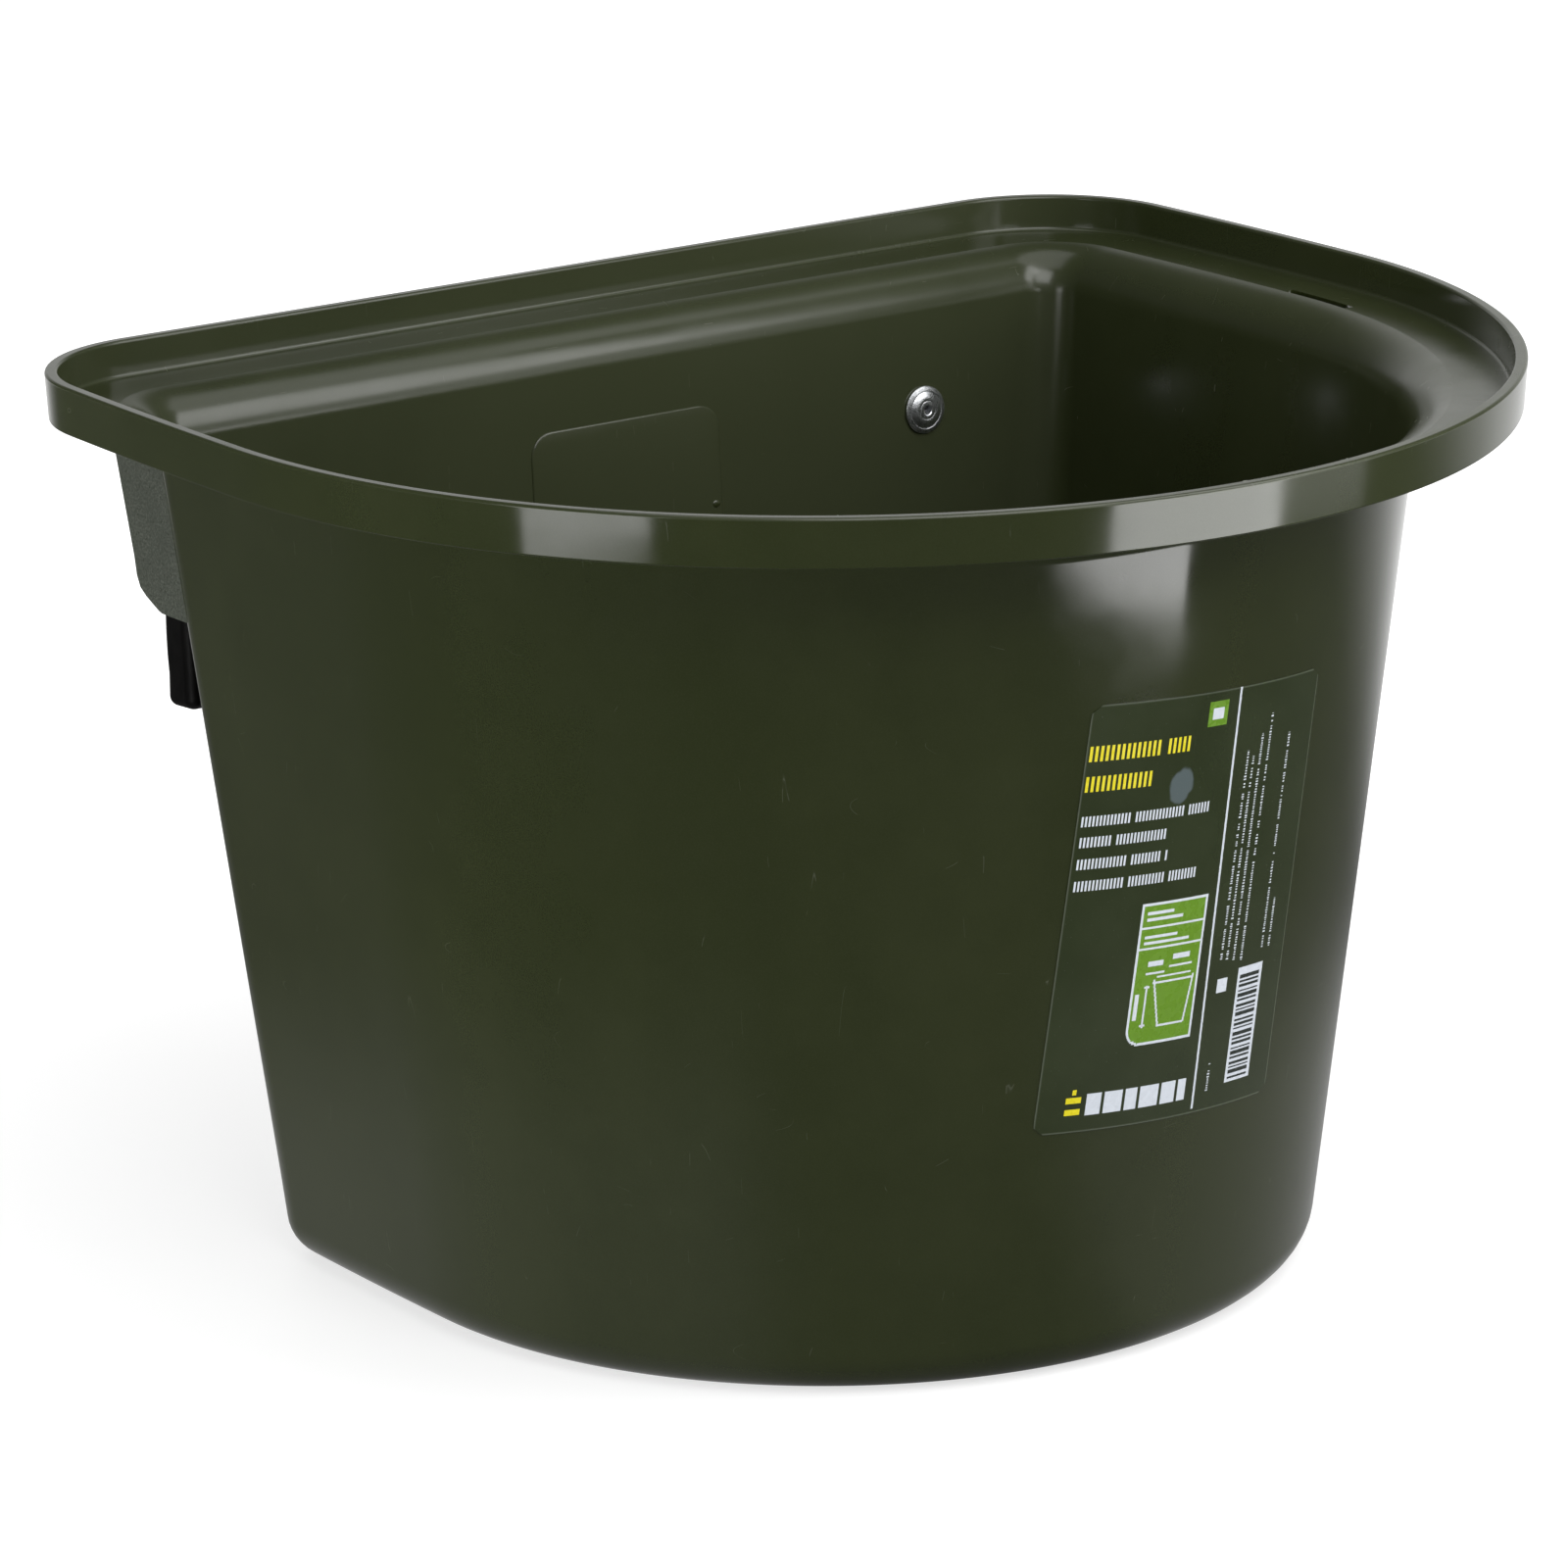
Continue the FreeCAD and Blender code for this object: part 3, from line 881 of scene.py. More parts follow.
@dataclass
class LegSleeve:
    """Black buffer pushed over the strap's hanging leg, closed at its tip."""

    strap: HookStrap
    width: float = 24.0
    depth: float = 13.5
    corner: float = 3.4
    tip_round: float = 3.0
    tip_thickness: float = 3.6
    mouth_round: float = 1.0
    below_bend: float = 3.0
    fit: float = 0.15

    def build(self, material: bpy.types.Material) -> bpy.types.Object:
        """Carries the sleeve's section up from the tip, over the mouth and into the pocket.

        Args:
            material: The rubber.

        Returns:
            The sleeve's object.
        """
        strap = self.strap
        _, _, top, low = strap.corners()
        ahead = (top - low).normalized()
        across = Vector((1, 0, 0))
        depth_axis = across.cross(ahead)
        bend = strap.bend + strap.thickness / 2
        lean = math.atan2(top.y - low.y, top.z - low.z)
        length = (top - low).length - bend * math.tan((math.pi / 2 + lean) / 2) - self.below_bend
        middle = low + across * (strap.side.value * strap.spacing / 2)

        def ring(run: float, shrink: float, pocket: float = 0.0) -> list[Vector]:
            """Outline of the sleeve, or of its pocket.

            Args:
                run: Distance up the leg from its end.
                shrink: How far it lies inside the sleeve's full section.
                pocket: Room round the strap; 0 for the outside.

            Returns:
                Its points in metres.
            """
            half_width, half_depth = self.width / 2 - shrink, self.depth / 2 - shrink
            corner = max(self.corner - shrink, 0.5)
            if pocket:
                half_width = strap.width / 2 + pocket
                half_depth = strap.thickness / 2 + pocket
                corner = 0.45
            return [(middle + ahead * run + across * u - depth_axis * v) * MM
                    for u, v in rounded_rectangle(half_width, half_depth, corner, 6)]

        loft = Loft(closed=True)
        base = -self.tip_thickness
        loft.first(ring(base, self.tip_round))
        for i in range(1, 7):
            angle = math.radians(15 * i)
            loft.then(ring(base + self.tip_round * (1 - math.cos(angle)),
                           self.tip_round * (1 - math.sin(angle))))
        for i in range(1, 14):
            loft.then(ring(length * i / 14, 0.12 * math.sin(i * 1.9) + 0.12))
        for i in range(5):
            angle = math.radians(22.5 * i)
            loft.then(ring(length - self.mouth_round * (1 - math.sin(angle)),
                           self.mouth_round * (1 - math.cos(angle))))
        for run in (length - 0.2, length - 1.2, length - 6.0):
            loft.then(ring(run, 0, self.fit + (0.5 if run > length - 0.5 else 0.0)))
        loft.fill()
        loft.end()
        bpy.ops.object.shade_smooth_by_angle(angle=math.radians(45))
        apply_modifier("WEIGHTED_NORMAL", keep_sharp=True, weight=60)
        name = f"{strap.side.label}_leg_sleeve"
        return finish_piece(f"{strap.side.label}_rubber_sleeve", material, (name,))


@dataclass
class BlindRivet:
    """Blind rivet through wall and strap: wide flange inside, bulb outside, broken-off pin."""

    strap: HookStrap
    flange: float = 14.2
    flange_height: float = 1.6
    crown: float = 7.6
    shank: float = 4.8
    bulb: float = 7.6
    bulb_length: float = 4.2
    pin: float = 2.7
    pin_head: float = 4.0
    pin_head_length: float = 2.4
    recess: float = 0.7
    steps: int = 72

    def body_profile(self) -> Outline:
        """Section of the body as (radius, height) with the wall's inner face at height 0.

        Returns:
            The section's points, once round.
        """
        high = self.flange_height
        rim, bore, crown = self.flange / 2, self.pin / 2 + 0.05, self.crown / 2
        seat = -self.strap.shell.wall_thickness - self.strap.thickness
        return [(bore, high - 2.0), (bore, high - 0.30), (bore + 0.25, high - 0.06), (crown - 1.3, high),
                (crown - 1.05, high - 0.10), (crown - 0.8, high - 0.02), (crown - 0.2, high - 0.05),
                (crown + 0.5, high - 0.24), (rim - 1.6, high - 0.86), (rim - 1.3, high - 0.78),
                (rim - 0.7, high - 0.93), (rim - 0.15, high - 1.12), (rim, high - 1.3), (rim - 0.02, 0.0),
                (self.shank / 2, 0.0), (self.shank / 2, seat), (self.bulb * 0.4, seat),
                (self.bulb / 2 - 0.2, seat - 0.8), (self.bulb / 2, seat - 1.9),
                (self.bulb / 2 - 0.15, seat - 3.1),
                (self.bulb * 0.4, seat - self.bulb_length), (bore, seat - self.bulb_length)]

    def pin_profile(self) -> Outline:
        """Section of the pin: ragged break in the recess, shank, head behind the bulb.

        Returns:
            The section's points, from the break to the head.
        """
        end = -self.strap.shell.wall_thickness - self.strap.thickness - self.bulb_length
        top = self.flange_height - self.recess
        pin = self.pin / 2
        return [(0.0, top - 0.28), (pin * 0.35, top - 0.2), (pin * 0.55, top + 0.0), (pin * 0.85, top - 0.06),
                (pin, top - 0.25), (pin, end), (self.pin_head / 2 - 0.1, end), (self.pin_head / 2, end - 0.2),
                (self.pin_head / 2, end - 1.3), (1.3, end - self.pin_head_length + 0.1),
                (1.0, end - self.pin_head_length), (0.0, end - self.pin_head_length)]

    def turn(self, profile: Outline, closed: bool) -> None:
        """Spins a section about Z into the active object.

        Args:
            profile: Its points (radius, height) in millimetres.
            closed: Whether the last point runs back to the first.
        """
        start_fresh()
        points = [Vector(metres(radius, 0, height)) for radius, height in profile]
        bpy.ops.mesh.primitive_plane_add(size=MM, location=points[0])
        session = EditSession()
        bpy.ops.mesh.select_all(action="SELECT")
        bpy.ops.mesh.merge(type="CENTER")
        route = points + (points[:1] if closed else [])
        for point, following in zip(route, route[1:]):
            bpy.ops.mesh.extrude_vertices_move(TRANSFORM_OT_translate={"value": following - point})
        bpy.ops.mesh.select_all(action="SELECT")
        bpy.ops.mesh.spin(steps=self.steps, angle=math.tau, center=(0, 0, 0), axis=(0, 0, 1))
        bpy.ops.mesh.select_all(action="SELECT")
        bpy.ops.mesh.remove_doubles(threshold=0.001 * MM)
        bpy.ops.mesh.normals_make_consistent(inside=False)
        session.leave()

    def place(self) -> None:
        """Moves the active object's mesh from the Z axis to the rivet's place in the wall."""
        piece = bpy.context.active_object
        strap, shell = self.strap, self.strap.shell
        tilt = math.radians(shell.back_draft)
        outward = Vector((0, math.cos(tilt), -math.sin(tilt)))
        inward = -outward
        seat = Vector((strap.side.value * strap.spacing / 2, shell.back_y_at(strap.rivet_height),
                       strap.rivet_height)) - outward * shell.inset * math.cos(tilt)
        across = Vector((1, 0, 0))
        axes = Matrix((across, inward.cross(across), inward)).transposed().to_4x4()
        piece.matrix_world = Matrix.Translation(seat * MM) @ axes

    def build(self, body: bpy.types.Material, pin: bpy.types.Material) -> None:
        """Models the turned body and the broken pin, each as its own piece.

        Args:
            body: The turned aluminium.
            pin: The broken steel.
        """
        side = self.strap.side.label
        self.turn(self.body_profile(), closed=True)
        self.place()
        bpy.ops.object.shade_smooth_by_angle(angle=math.radians(28))
        finish_piece(f"{side}_turned_rivet", body, (f"{side}_rivet_body",))
        self.turn(self.pin_profile(), closed=False)
        self.place()
        bpy.ops.object.shade_smooth_by_angle(angle=math.radians(28))
        finish_piece(f"{side}_broken_pin", pin, (f"{side}_rivet_mandrel",))


# ---- the label -------------------------------------------------------------------------
@dataclass
class FrontLabel:
    """Clear film wrapped on the conical front wall, printed with generic blocks and bars."""

    shell: BucketShell
    width: float = 84.0
    height: float = 122.0
    corner: float = 3.0
    centre_x: float = 8.0
    centre_z: float = 132.3
    tilt: float = 3.5
    glue: float = 0.05
    film: float = 0.2
    ink: float = 0.03

    def wrap(self, u: float, v: float, lift: float) -> Vector:
        """Place on the wall of a label point.

        Args:
            u: Distance to the right of the label's middle.
            v: Distance above the label's middle.
            lift: Distance above the wall.

        Returns:
            The place in metres.
        """
        tilt = math.radians(self.tilt)
        x = self.centre_x + u * math.cos(tilt) + v * math.sin(tilt)
        z = self.centre_z - u * math.sin(tilt) + v * math.cos(tilt)
        radius = self.shell.front_radius_at(z) + lift
        return Vector(metres(x, self.shell.arc_y - math.sqrt(radius ** 2 - x ** 2), z))

    def build_film(self, material: bpy.types.Material) -> bpy.types.Object:
        """Lays a grid over the label's outline, wraps it and gives it the film's thickness.

        Args:
            material: The film.

        Returns:
            The film's object.
        """
        start_fresh()
        columns, rows = 40, 58
        bpy.ops.mesh.primitive_grid_add(x_subdivisions=columns, y_subdivisions=rows, size=2)
        session = EditSession()
        work = session.mesh()
        coords = work.loops.layers.uv.verify()
        half_u, half_v = self.width / 2, self.height / 2
        flat = {}
        for vert in work.verts:
            v = half_v * vert.co.y
            gap = self.corner - (half_v - abs(v))
            inset = self.corner - math.sqrt(self.corner ** 2 - gap ** 2) if gap > 0 else 0.0
            flat[vert] = (vert.co.x * (half_u - inset), v)
        for face in work.faces:
            for loop in face.loops:
                u, v = flat[loop.vert]
                loop[coords].uv = (u * MM, v * MM)
        for vert, (u, v) in flat.items():
            bubble = 0.10 * math.exp(-((u + 10) ** 2 + (v - 35.5) ** 2) / 14)
            vert.co = self.wrap(u, v, self.glue + self.film + min(bubble, 0.05))
        bmesh.update_edit_mesh(session.owner.data)
        bpy.ops.mesh.select_all(action="SELECT")
        bpy.ops.mesh.normals_make_consistent(inside=False)
        session.leave()
        middle = bpy.context.active_object.data.polygons[0]
        outward = -1.0 if middle.normal.y < 0 else 1.0
        apply_modifier("SOLIDIFY", thickness=self.film * MM, offset=outward)
        bpy.ops.object.shade_smooth_by_angle(angle=math.radians(40))
        return finish_piece("label_film", material, ("front_label",))

    def build_print(self, name: str, blocks: list[Rectangle],
                    material: bpy.types.Material, lift: float) -> bpy.types.Object:
        """Models one ink's blocks as thin plates wrapped on the film.

        Args:
            name: The piece's name.
            blocks: Rectangles as (left, bottom, width, height) on the label.
            material: The ink.
            lift: Distance of the plates' face above the wall.

        Returns:
            The ink's object.
        """
        session = open_empty_mesh()
        for left, low, width, height in blocks:
            place = (left + width / 2, low + height / 2, 0)
            columns, rows = max(2, int(width / 3) + 1), max(2, int(height / 6) + 1)
            bpy.ops.mesh.primitive_grid_add(x_subdivisions=columns, y_subdivisions=rows, size=1,
                                            location=place)
            bpy.ops.transform.resize(value=(width, height, 1), center_override=place)
            bpy.ops.mesh.select_all(action="DESELECT")
        bpy.ops.mesh.select_all(action="SELECT")
        bpy.ops.mesh.extrude_region_move(TRANSFORM_OT_translate={"value": (0, 0, self.ink)})
        bpy.ops.mesh.select_all(action="SELECT")
        bpy.ops.mesh.normals_make_consistent(inside=False)
        work = session.mesh()
        for vert in work.verts:
            vert.co = self.wrap(vert.co.x, vert.co.y, lift - self.ink + vert.co.z)
        bmesh.update_edit_mesh(session.owner.data)
        bpy.ops.mesh.normals_make_consistent(inside=False)
        session.leave()
        return finish_piece(name, material)


@dataclass
class LabelPrint:
    """Layout of the print: groups of dashes, a panel with bars and an outline, columns and blocks."""

    seed: int = 11

    def __post_init__(self) -> None:
        """Starts the seeded dice and the lists of blocks."""
        self.dice = random.Random(self.seed)
        self.blocks: dict[Ink, list[Rectangle]] = {ink: [] for ink in Ink}
        self.over: dict[Ink, list[Rectangle]] = {ink: [] for ink in Ink}

    def row(self, ink: Ink, left: float, right: float, base: float, height: float) -> None:
        """A line of equal upright dashes, set in groups as long as words.

        Args:
            ink: The ink of the line.
            left: Its left end.
            right: Its right end.
            base: Its lower edge.
            height: Height of the dashes.
        """
        u = left
        dash = 0.2 * height
        while u < right - dash:
            for _ in range(self.dice.randint(7, 15)):
                if u < right - dash:
                    self.blocks[ink].append((u, base, dash, height))
                u += 1.9 * dash
            u += 2.2 * dash

    def column(self, u: float, low: float, high: float, height: float = 1.25) -> None:
        """A line of tiny blocks that runs up the label.

        Args:
            u: Its place across the label.
            low: Its lower end.
            high: Its upper end.
            height: Height of its blocks, across the label.
        """
        v = low
        while v < high:
            length = min(self.dice.uniform(0.5, 0.95), high - v)
            width = height * self.dice.choice((0.7, 0.75, 1.0))
            if self.dice.random() > 0.15:
                self.blocks[Ink.WHITE].append((u - width / 2, v, width * 0.75, length * 0.48))
            v += length

    def lay_out_words(self) -> None:
        """Sets the lines of dashes in the label's upper left part."""
        self.row(Ink.YELLOW, -41.0, -8.3, 45.3, 4.3)
        self.row(Ink.YELLOW, -41.0, -20.0, 36.8, 4.3)
        for base, left, right in ((27.0, -40.7, 1.2), (21.1, -40.4, -11.6), (14.9, -40.3, -11.5),
                                  (8.7, -40.3, -0.2)):
            self.row(Ink.WHITE, left, right, base, 2.9)

    def lay_out_panel(self) -> None:
        """Sets the framed green panel with its round corner, bars and outline of a bucket."""
        green, over = self.blocks[Ink.GREEN], self.over[Ink.WHITE]
        left, width, line = -17.7, 23.1, 0.75
        green.append((left, -33.0, width, 36.0))
        for i in range(10):
            v = -38.0 + 0.5 * i
            inset = 5.0 - math.sqrt(25.0 - (4.75 - 0.5 * i) ** 2)
            green.append((left + inset, v, width - inset, 0.51))
            over.append((left + inset, v, line + 0.35 * inset * (i < 3), 0.51))
        green.append((-3.4, 51.2, 7.0, 7.0))
        over += [(left, 2.25, width, line), (4.65, -38.0, line, 41.0), (left, -33.0, line, 36.0),
                 (-13.4, -38.0, 18.8, line)]
        over += [(left, -4.4, width, 0.6), (left, -10.4, width, 0.6)]
        over += [(-15.6, -2.2, 12.4, 0.9), (-15.6, -0.4, 9.0, 0.9), (-15.6, -8.9, 15.6, 0.8),
                 (-15.6, -7.2, 11.2, 0.8)]
        over += [(-12.9, -33.0, 0.6, 12.2), (-13.6, -17.7, 6.4, 0.6), (-5.8, -16.4, 8.2, 0.6)]
        over += [(-13.5, -32.6, 1.8, 0.6), (-13.5, -21.6, 1.8, 0.6), (-16.2, -30.5, 1.3, 7.5)]
        over += [(-13.2, -15.4, 5.2, 1.5), (-4.8, -14.2, 6.0, 1.5)]
        over += [(-10.8, -20.6, 14.4, 0.6), (-9.6, -18.9, 12.0, 0.5), (-7.7, -33.2, 9.4, 0.6)]
        for i in range(11):
            share = i / 10
            v = -20.6 - 12.4 * share
            over += [(-10.6 + 2.9 * share, v, 0.6, 1.25), (3.1 - 1.6 * share, v, 0.6, 1.25)]
        over.append((-1.9, 53.1, 4.0, 3.2))

    def lay_out_margin(self) -> None:
        """Sets the dividing line, the upright columns, the striped field and the lower blocks."""
        white, yellow = self.blocks[Ink.WHITE], self.blocks[Ink.YELLOW]
        for i in range(40):
            white.append((7.45 + 2.1 * (i / 39), 58.0 - 3.02 * i, 0.75, 3.05))
        for u, low, high in ((14.1, -17.3, 42.3), (16.5, -17.7, 40.6), (19.3, -18.3, 46.4),
                             (22.5, -18.9, 51.7), (31.3, -16.9, 44.8), (34.5, -17.1, -3.1),
                             (15.0, -55.4, -47.3)):
            self.column(u, low, high)
        white.append((22.0, -54.5, 10.6, 33.3))
        self.over[Ink.WHITE].append((13.6, -27.0, 4.0, 4.0))
        yellow += [(-33.6, -56.0, 4.6, 1.7), (-33.6, -52.6, 4.6, 1.7), (-31.9, -50.2, 1.2, 1.5)]
        u = -27.3
        for width in (4.6, 5.8, 3.9, 6.4, 5.0, 2.9):
            white.append((u, -56.4, width, 6.2))
            u += width + 1.0

    def lay_out(self) -> None:
        """Fills the lists of blocks for each ink."""
        self.lay_out_words()
        self.lay_out_panel()
        self.lay_out_margin()


@dataclass
class StripedField:
    """Dark upright stripes on the label's white field: plain bars of repeated widths."""

    left: float = 23.0
    length: float = 8.4
    low: float = -53.6
    high: float = -22.6
    widths: tuple[float, ...] = (0.6, 1.1, 0.4, 0.8)
    gap: float = 0.55
    wide_gap: float = 0.9

    def blocks(self) -> list[Rectangle]:
        """The stripes as rectangles on the label.

        Returns:
            The rectangles, lowest first.
        """
        bars = []
        v = self.low
        while v < self.high:
            number = len(bars)
            width = self.widths[number % len(self.widths)]
            bars.append((self.left, v, self.length, width))
            v += width + (self.gap if number % 3 else self.wide_gap)
        return bars


# ---- finishes --------------------------------------------------------------------------
class NodeSheet:
    """Node tree of one material, with short calls for the nodes used here."""

    def __init__(self, name: str) -> None:
        """Makes an empty material.

        Args:
            name: The material's name.
        """
        self.material = bpy.data.materials.new(name)
        self.material.use_nodes = True
        self.tree = self.material.node_tree
        self.tree.nodes.clear()
        self.object_coords = self.add("ShaderNodeTexCoord").outputs["Object"]

    def add(self, kind: str, inputs: dict | None = None, **settings: object) -> bpy.types.Node:
        """Adds a node.

        Args:
            kind: Blender's name of the node.
            inputs: Values or sockets for its inputs, by name or number.
            **settings: Its properties.

        Returns:
            The node.
        """
        node = self.tree.nodes.new(kind)
        for key, value in settings.items():
            setattr(node, key, value)
        for key, value in (inputs or {}).items():
            socket = node.inputs[key]
            if isinstance(value, bpy.types.NodeSocket):
                self.tree.links.new(value, socket)
            else:
                socket.default_value = value
        return node

    def stretched(self, scale: Triple, turn: Triple = (0, 0, 0)) -> Socket:
        """Object coordinates, stretched and turned by degrees."""
        return self.add("ShaderNodeMapping", {"Vector": self.object_coords, "Scale": scale,
                                              "Rotation": [math.radians(a) for a in turn]}).outputs[0]

    def noise(self, scale: float, detail: float = 4.0, roughness: float = 0.55,
              vector: Socket | None = None, distortion: float = 0.0) -> Socket:
        """Value of a noise pattern.

        Args:
            scale: How fine it is.
            detail: How many finer layers lie on it.
            roughness: How strong those layers are.
            vector: Its coordinates; the object's own where none are given.
            distortion: How far it is swirled.

        Returns:
            The value's socket.
        """
        return self.add("ShaderNodeTexNoise", {"Vector": vector or self.object_coords, "Scale": scale,
                                               "Detail": detail, "Roughness": roughness,
                                               "Distortion": distortion}).outputs[0]

    def ramp(self, value: Value, low: float, high: float, out_low: float = 0.0,
             out_high: float = 1.0) -> Socket:
        """Value carried smoothly from one range into another.

        Args:
            value: The value.
            low: Start of its range.
            high: End of its range.
            out_low: Start of the new range.
            out_high: End of the new range.

        Returns:
            The new value's socket.
        """
        return self.add("ShaderNodeMapRange", {"Value": value, "From Min": low, "From Max": high,
                                               "To Min": out_low, "To Max": out_high},
                        interpolation_type="SMOOTHSTEP").outputs[0]

    def maths(self, operation: str, first: Value, second: Value = 0.0) -> Socket:
        """Result of a sum, product or comparison."""
        return self.add("ShaderNodeMath", {0: first, 1: second}, operation=operation).outputs[0]

    def blend(self, share: Value, first: Paint, second: Paint) -> Socket:
        """Mix of two colours.

        Args:
            share: How much of the second colour shows, from 0 to 1.
            first: The first colour.
            second: The second colour.

        Returns:
            The colour's socket.
        """
        node = self.add("ShaderNodeMix", {0: share}, data_type="RGBA")
        for socket, value in ((node.inputs[6], first), (node.inputs[7], second)):
            if isinstance(value, bpy.types.NodeSocket):
                self.tree.links.new(value, socket)
            else:
                socket.default_value = (*value, 1.0)
        return node.outputs[2]

    def scratches(self, scale: float, stretch: Triple, turn: Triple, width: float,
                  density: float) -> Socket:
        """Fine broken lines: 1 on a scratch and 0 beside it.

        Args:
            scale: How close together the lines lie.
            stretch: Scaling of the pattern along each axis; small along the lines.
            turn: Its rotation in degrees.
            width: Width of the lines in the pattern.
            density: Share of the lines that is kept, from 0 to 1.

        Returns:
            The value's socket.
        """
        vector = self.stretched(stretch, turn)
        level = self.maths("ABSOLUTE", self.maths("SUBTRACT", self.noise(scale, 0.0, vector=vector), 0.5))
        kept = self.ramp(self.noise(scale * 0.9, 1.0, vector=self.stretched((0.8, 0.8, 0.8))), 1.0 - density,
                         1.04 - density)
        return self.maths("MULTIPLY", self.ramp(level, width, 0.0), kept)

    def bump(self, height: Socket, distance: float, strength: float = 1.0) -> Socket:
        """Normal changed by a height pattern."""
        return self.add("ShaderNodeBump", {"Height": height, "Distance": distance,
                                           "Strength": strength}).outputs[0]

    def surface(self, **inputs: object) -> bpy.types.Material:
        """Ends the tree with one principled shader.

        Args:
            **inputs: Its inputs, with underscores for the spaces in their names.

        Returns:
            The finished material.
        """
        named = {key.replace("_", " "): value for key, value in inputs.items()}
        shader = self.add("ShaderNodeBsdfPrincipled", named)
        self.add("ShaderNodeOutputMaterial", {"Surface": shader.outputs[0]})
        return self.material


@dataclass(frozen=True)
class MouldedPlastic:
    """Dark olive polypropylene, glossy, with drifted pigment, fine scratches, orange peel, and dust mixed
    with painted light on the inner walls that face the front.
    """

    dark: Triple = (0.0160, 0.0215, 0.0046)
    light: Triple = (0.0228, 0.0288, 0.0084)
    roughness: float = 0.09

    def material(self) -> bpy.types.Material:
        """Builds the node material.

        Returns:
            The finished material.
        """
        sheet = NodeSheet("moulded_plastic")
        drift = sheet.noise(7.0, 3.0, 0.5, sheet.stretched((1, 1, 0.45)), 0.6)
        cloud = sheet.noise(55.0, 5.0, 0.6)
        tone = sheet.maths("ADD", sheet.maths("MULTIPLY", drift, 0.75), sheet.maths("MULTIPLY", cloud, 0.25))
        colour = sheet.blend(sheet.ramp(tone, 0.35, 0.65), self.dark, self.light)
        grain = sheet.noise(2600.0, 2.0)
        colour = sheet.blend(sheet.ramp(grain, 0.35, 0.8, 0.0, 0.22), colour, (0.036, 0.042, 0.022))
        fine = sheet.scratches(150.0, (1.0, 1.0, 0.03), (12, 30, 8), 0.005, 0.34)
        cross = sheet.scratches(120.0, (0.03, 1.0, 1.0), (-9, 14, 31), 0.005, 0.32)
        marks = sheet.maths("MAXIMUM", fine, cross)
        colour = sheet.blend(sheet.maths("MULTIPLY", marks, 0.15), colour, (0.14, 0.15, 0.11))
        rough = sheet.ramp(sheet.noise(16.0, 4.0, 0.65), 0.3, 0.75, self.roughness - 0.015,
                           self.roughness + 0.06)
        rough = sheet.maths("ADD", rough, sheet.maths("MULTIPLY", marks, 0.2))
        facing = sheet.add("ShaderNodeNewGeometry").outputs["Normal"]
        split = sheet.add("ShaderNodeSeparateXYZ", {0: facing})
        forward, upward = sheet.maths("MULTIPLY", split.outputs[1], -1.0), split.outputs[2]
        worn = sheet.maths("MULTIPLY", sheet.ramp(upward, 0.0, 0.18), sheet.ramp(cloud, 0.2, 0.6, 0.7, 1.0))
        rough = sheet.maths("ADD", rough, sheet.maths("MULTIPLY", worn, 0.14))
        # dust and painted light: inner walls that face the front and tilt slightly up are lightened towards a
        # pale grey-olive, partly dust, partly painted light
        dust = sheet.maths("MULTIPLY", sheet.ramp(upward, 0.0, 0.06, 0.0, 0.45),
                           sheet.ramp(forward, 0.2, 0.9, 0.3, 1.0))
        colour = sheet.blend(dust, colour, (0.050, 0.056, 0.034))
        peel = sheet.maths("MULTIPLY", sheet.noise(620.0, 1.0), 0.008)
        waves = sheet.maths("ADD", sheet.noise(24.0, 1.0), peel)
        normal = sheet.bump(waves, 0.0009, 0.22)
        return sheet.surface(Base_Color=colour, Roughness=rough, Normal=normal, IOR=1.49)


@dataclass(frozen=True)
class SparkEroded:
    """Matt grey-green face of the same plastic, speckled from the eroded mould."""

    ground: Triple = (0.040, 0.046, 0.035)
    speckle: Triple = (0.090, 0.099, 0.080)

    def material(self) -> bpy.types.Material:
        """Builds the node material.

        Returns:
            The finished material.
        """
        sheet = NodeSheet("spark_eroded_plastic")
        grain = sheet.noise(1300.0, 3.0, 0.7)
        patch = sheet.noise(70.0, 4.0, 0.6)
        share = sheet.maths("MULTIPLY", sheet.ramp(grain, 0.38, 0.68), sheet.ramp(patch, 0.2, 0.7, 0.5, 1.0))
        colour = sheet.blend(share, self.ground, self.speckle)
        pits = sheet.ramp(sheet.noise(900.0, 2.0), 0.30, 0.38, 1.0, 0.0)
        colour = sheet.blend(sheet.maths("MULTIPLY", pits, 0.55), colour, (0.016, 0.020, 0.010))
        rough = sheet.ramp(grain, 0.3, 0.7, 0.55, 0.75)
        return sheet.surface(Base_Color=colour, Roughness=rough, IOR=1.49,
                             Normal=sheet.bump(grain, 0.0001, 0.5))


@dataclass(frozen=True)
class StressedPlastic:
    """Whitened plastic of the torn burrs."""

    pale: Triple = (0.42, 0.45, 0.40)

    def material(self) -> bpy.types.Material:
        """Builds the node material.

        Returns:
            The finished material.
        """
        sheet = NodeSheet("stressed_plastic")
        colour = sheet.blend(sheet.ramp(sheet.noise(1500.0, 2.0), 0.4, 0.6), (0.12, 0.14, 0.09), self.pale)
        return sheet.surface(Base_Color=colour, Roughness=0.45, IOR=1.49)


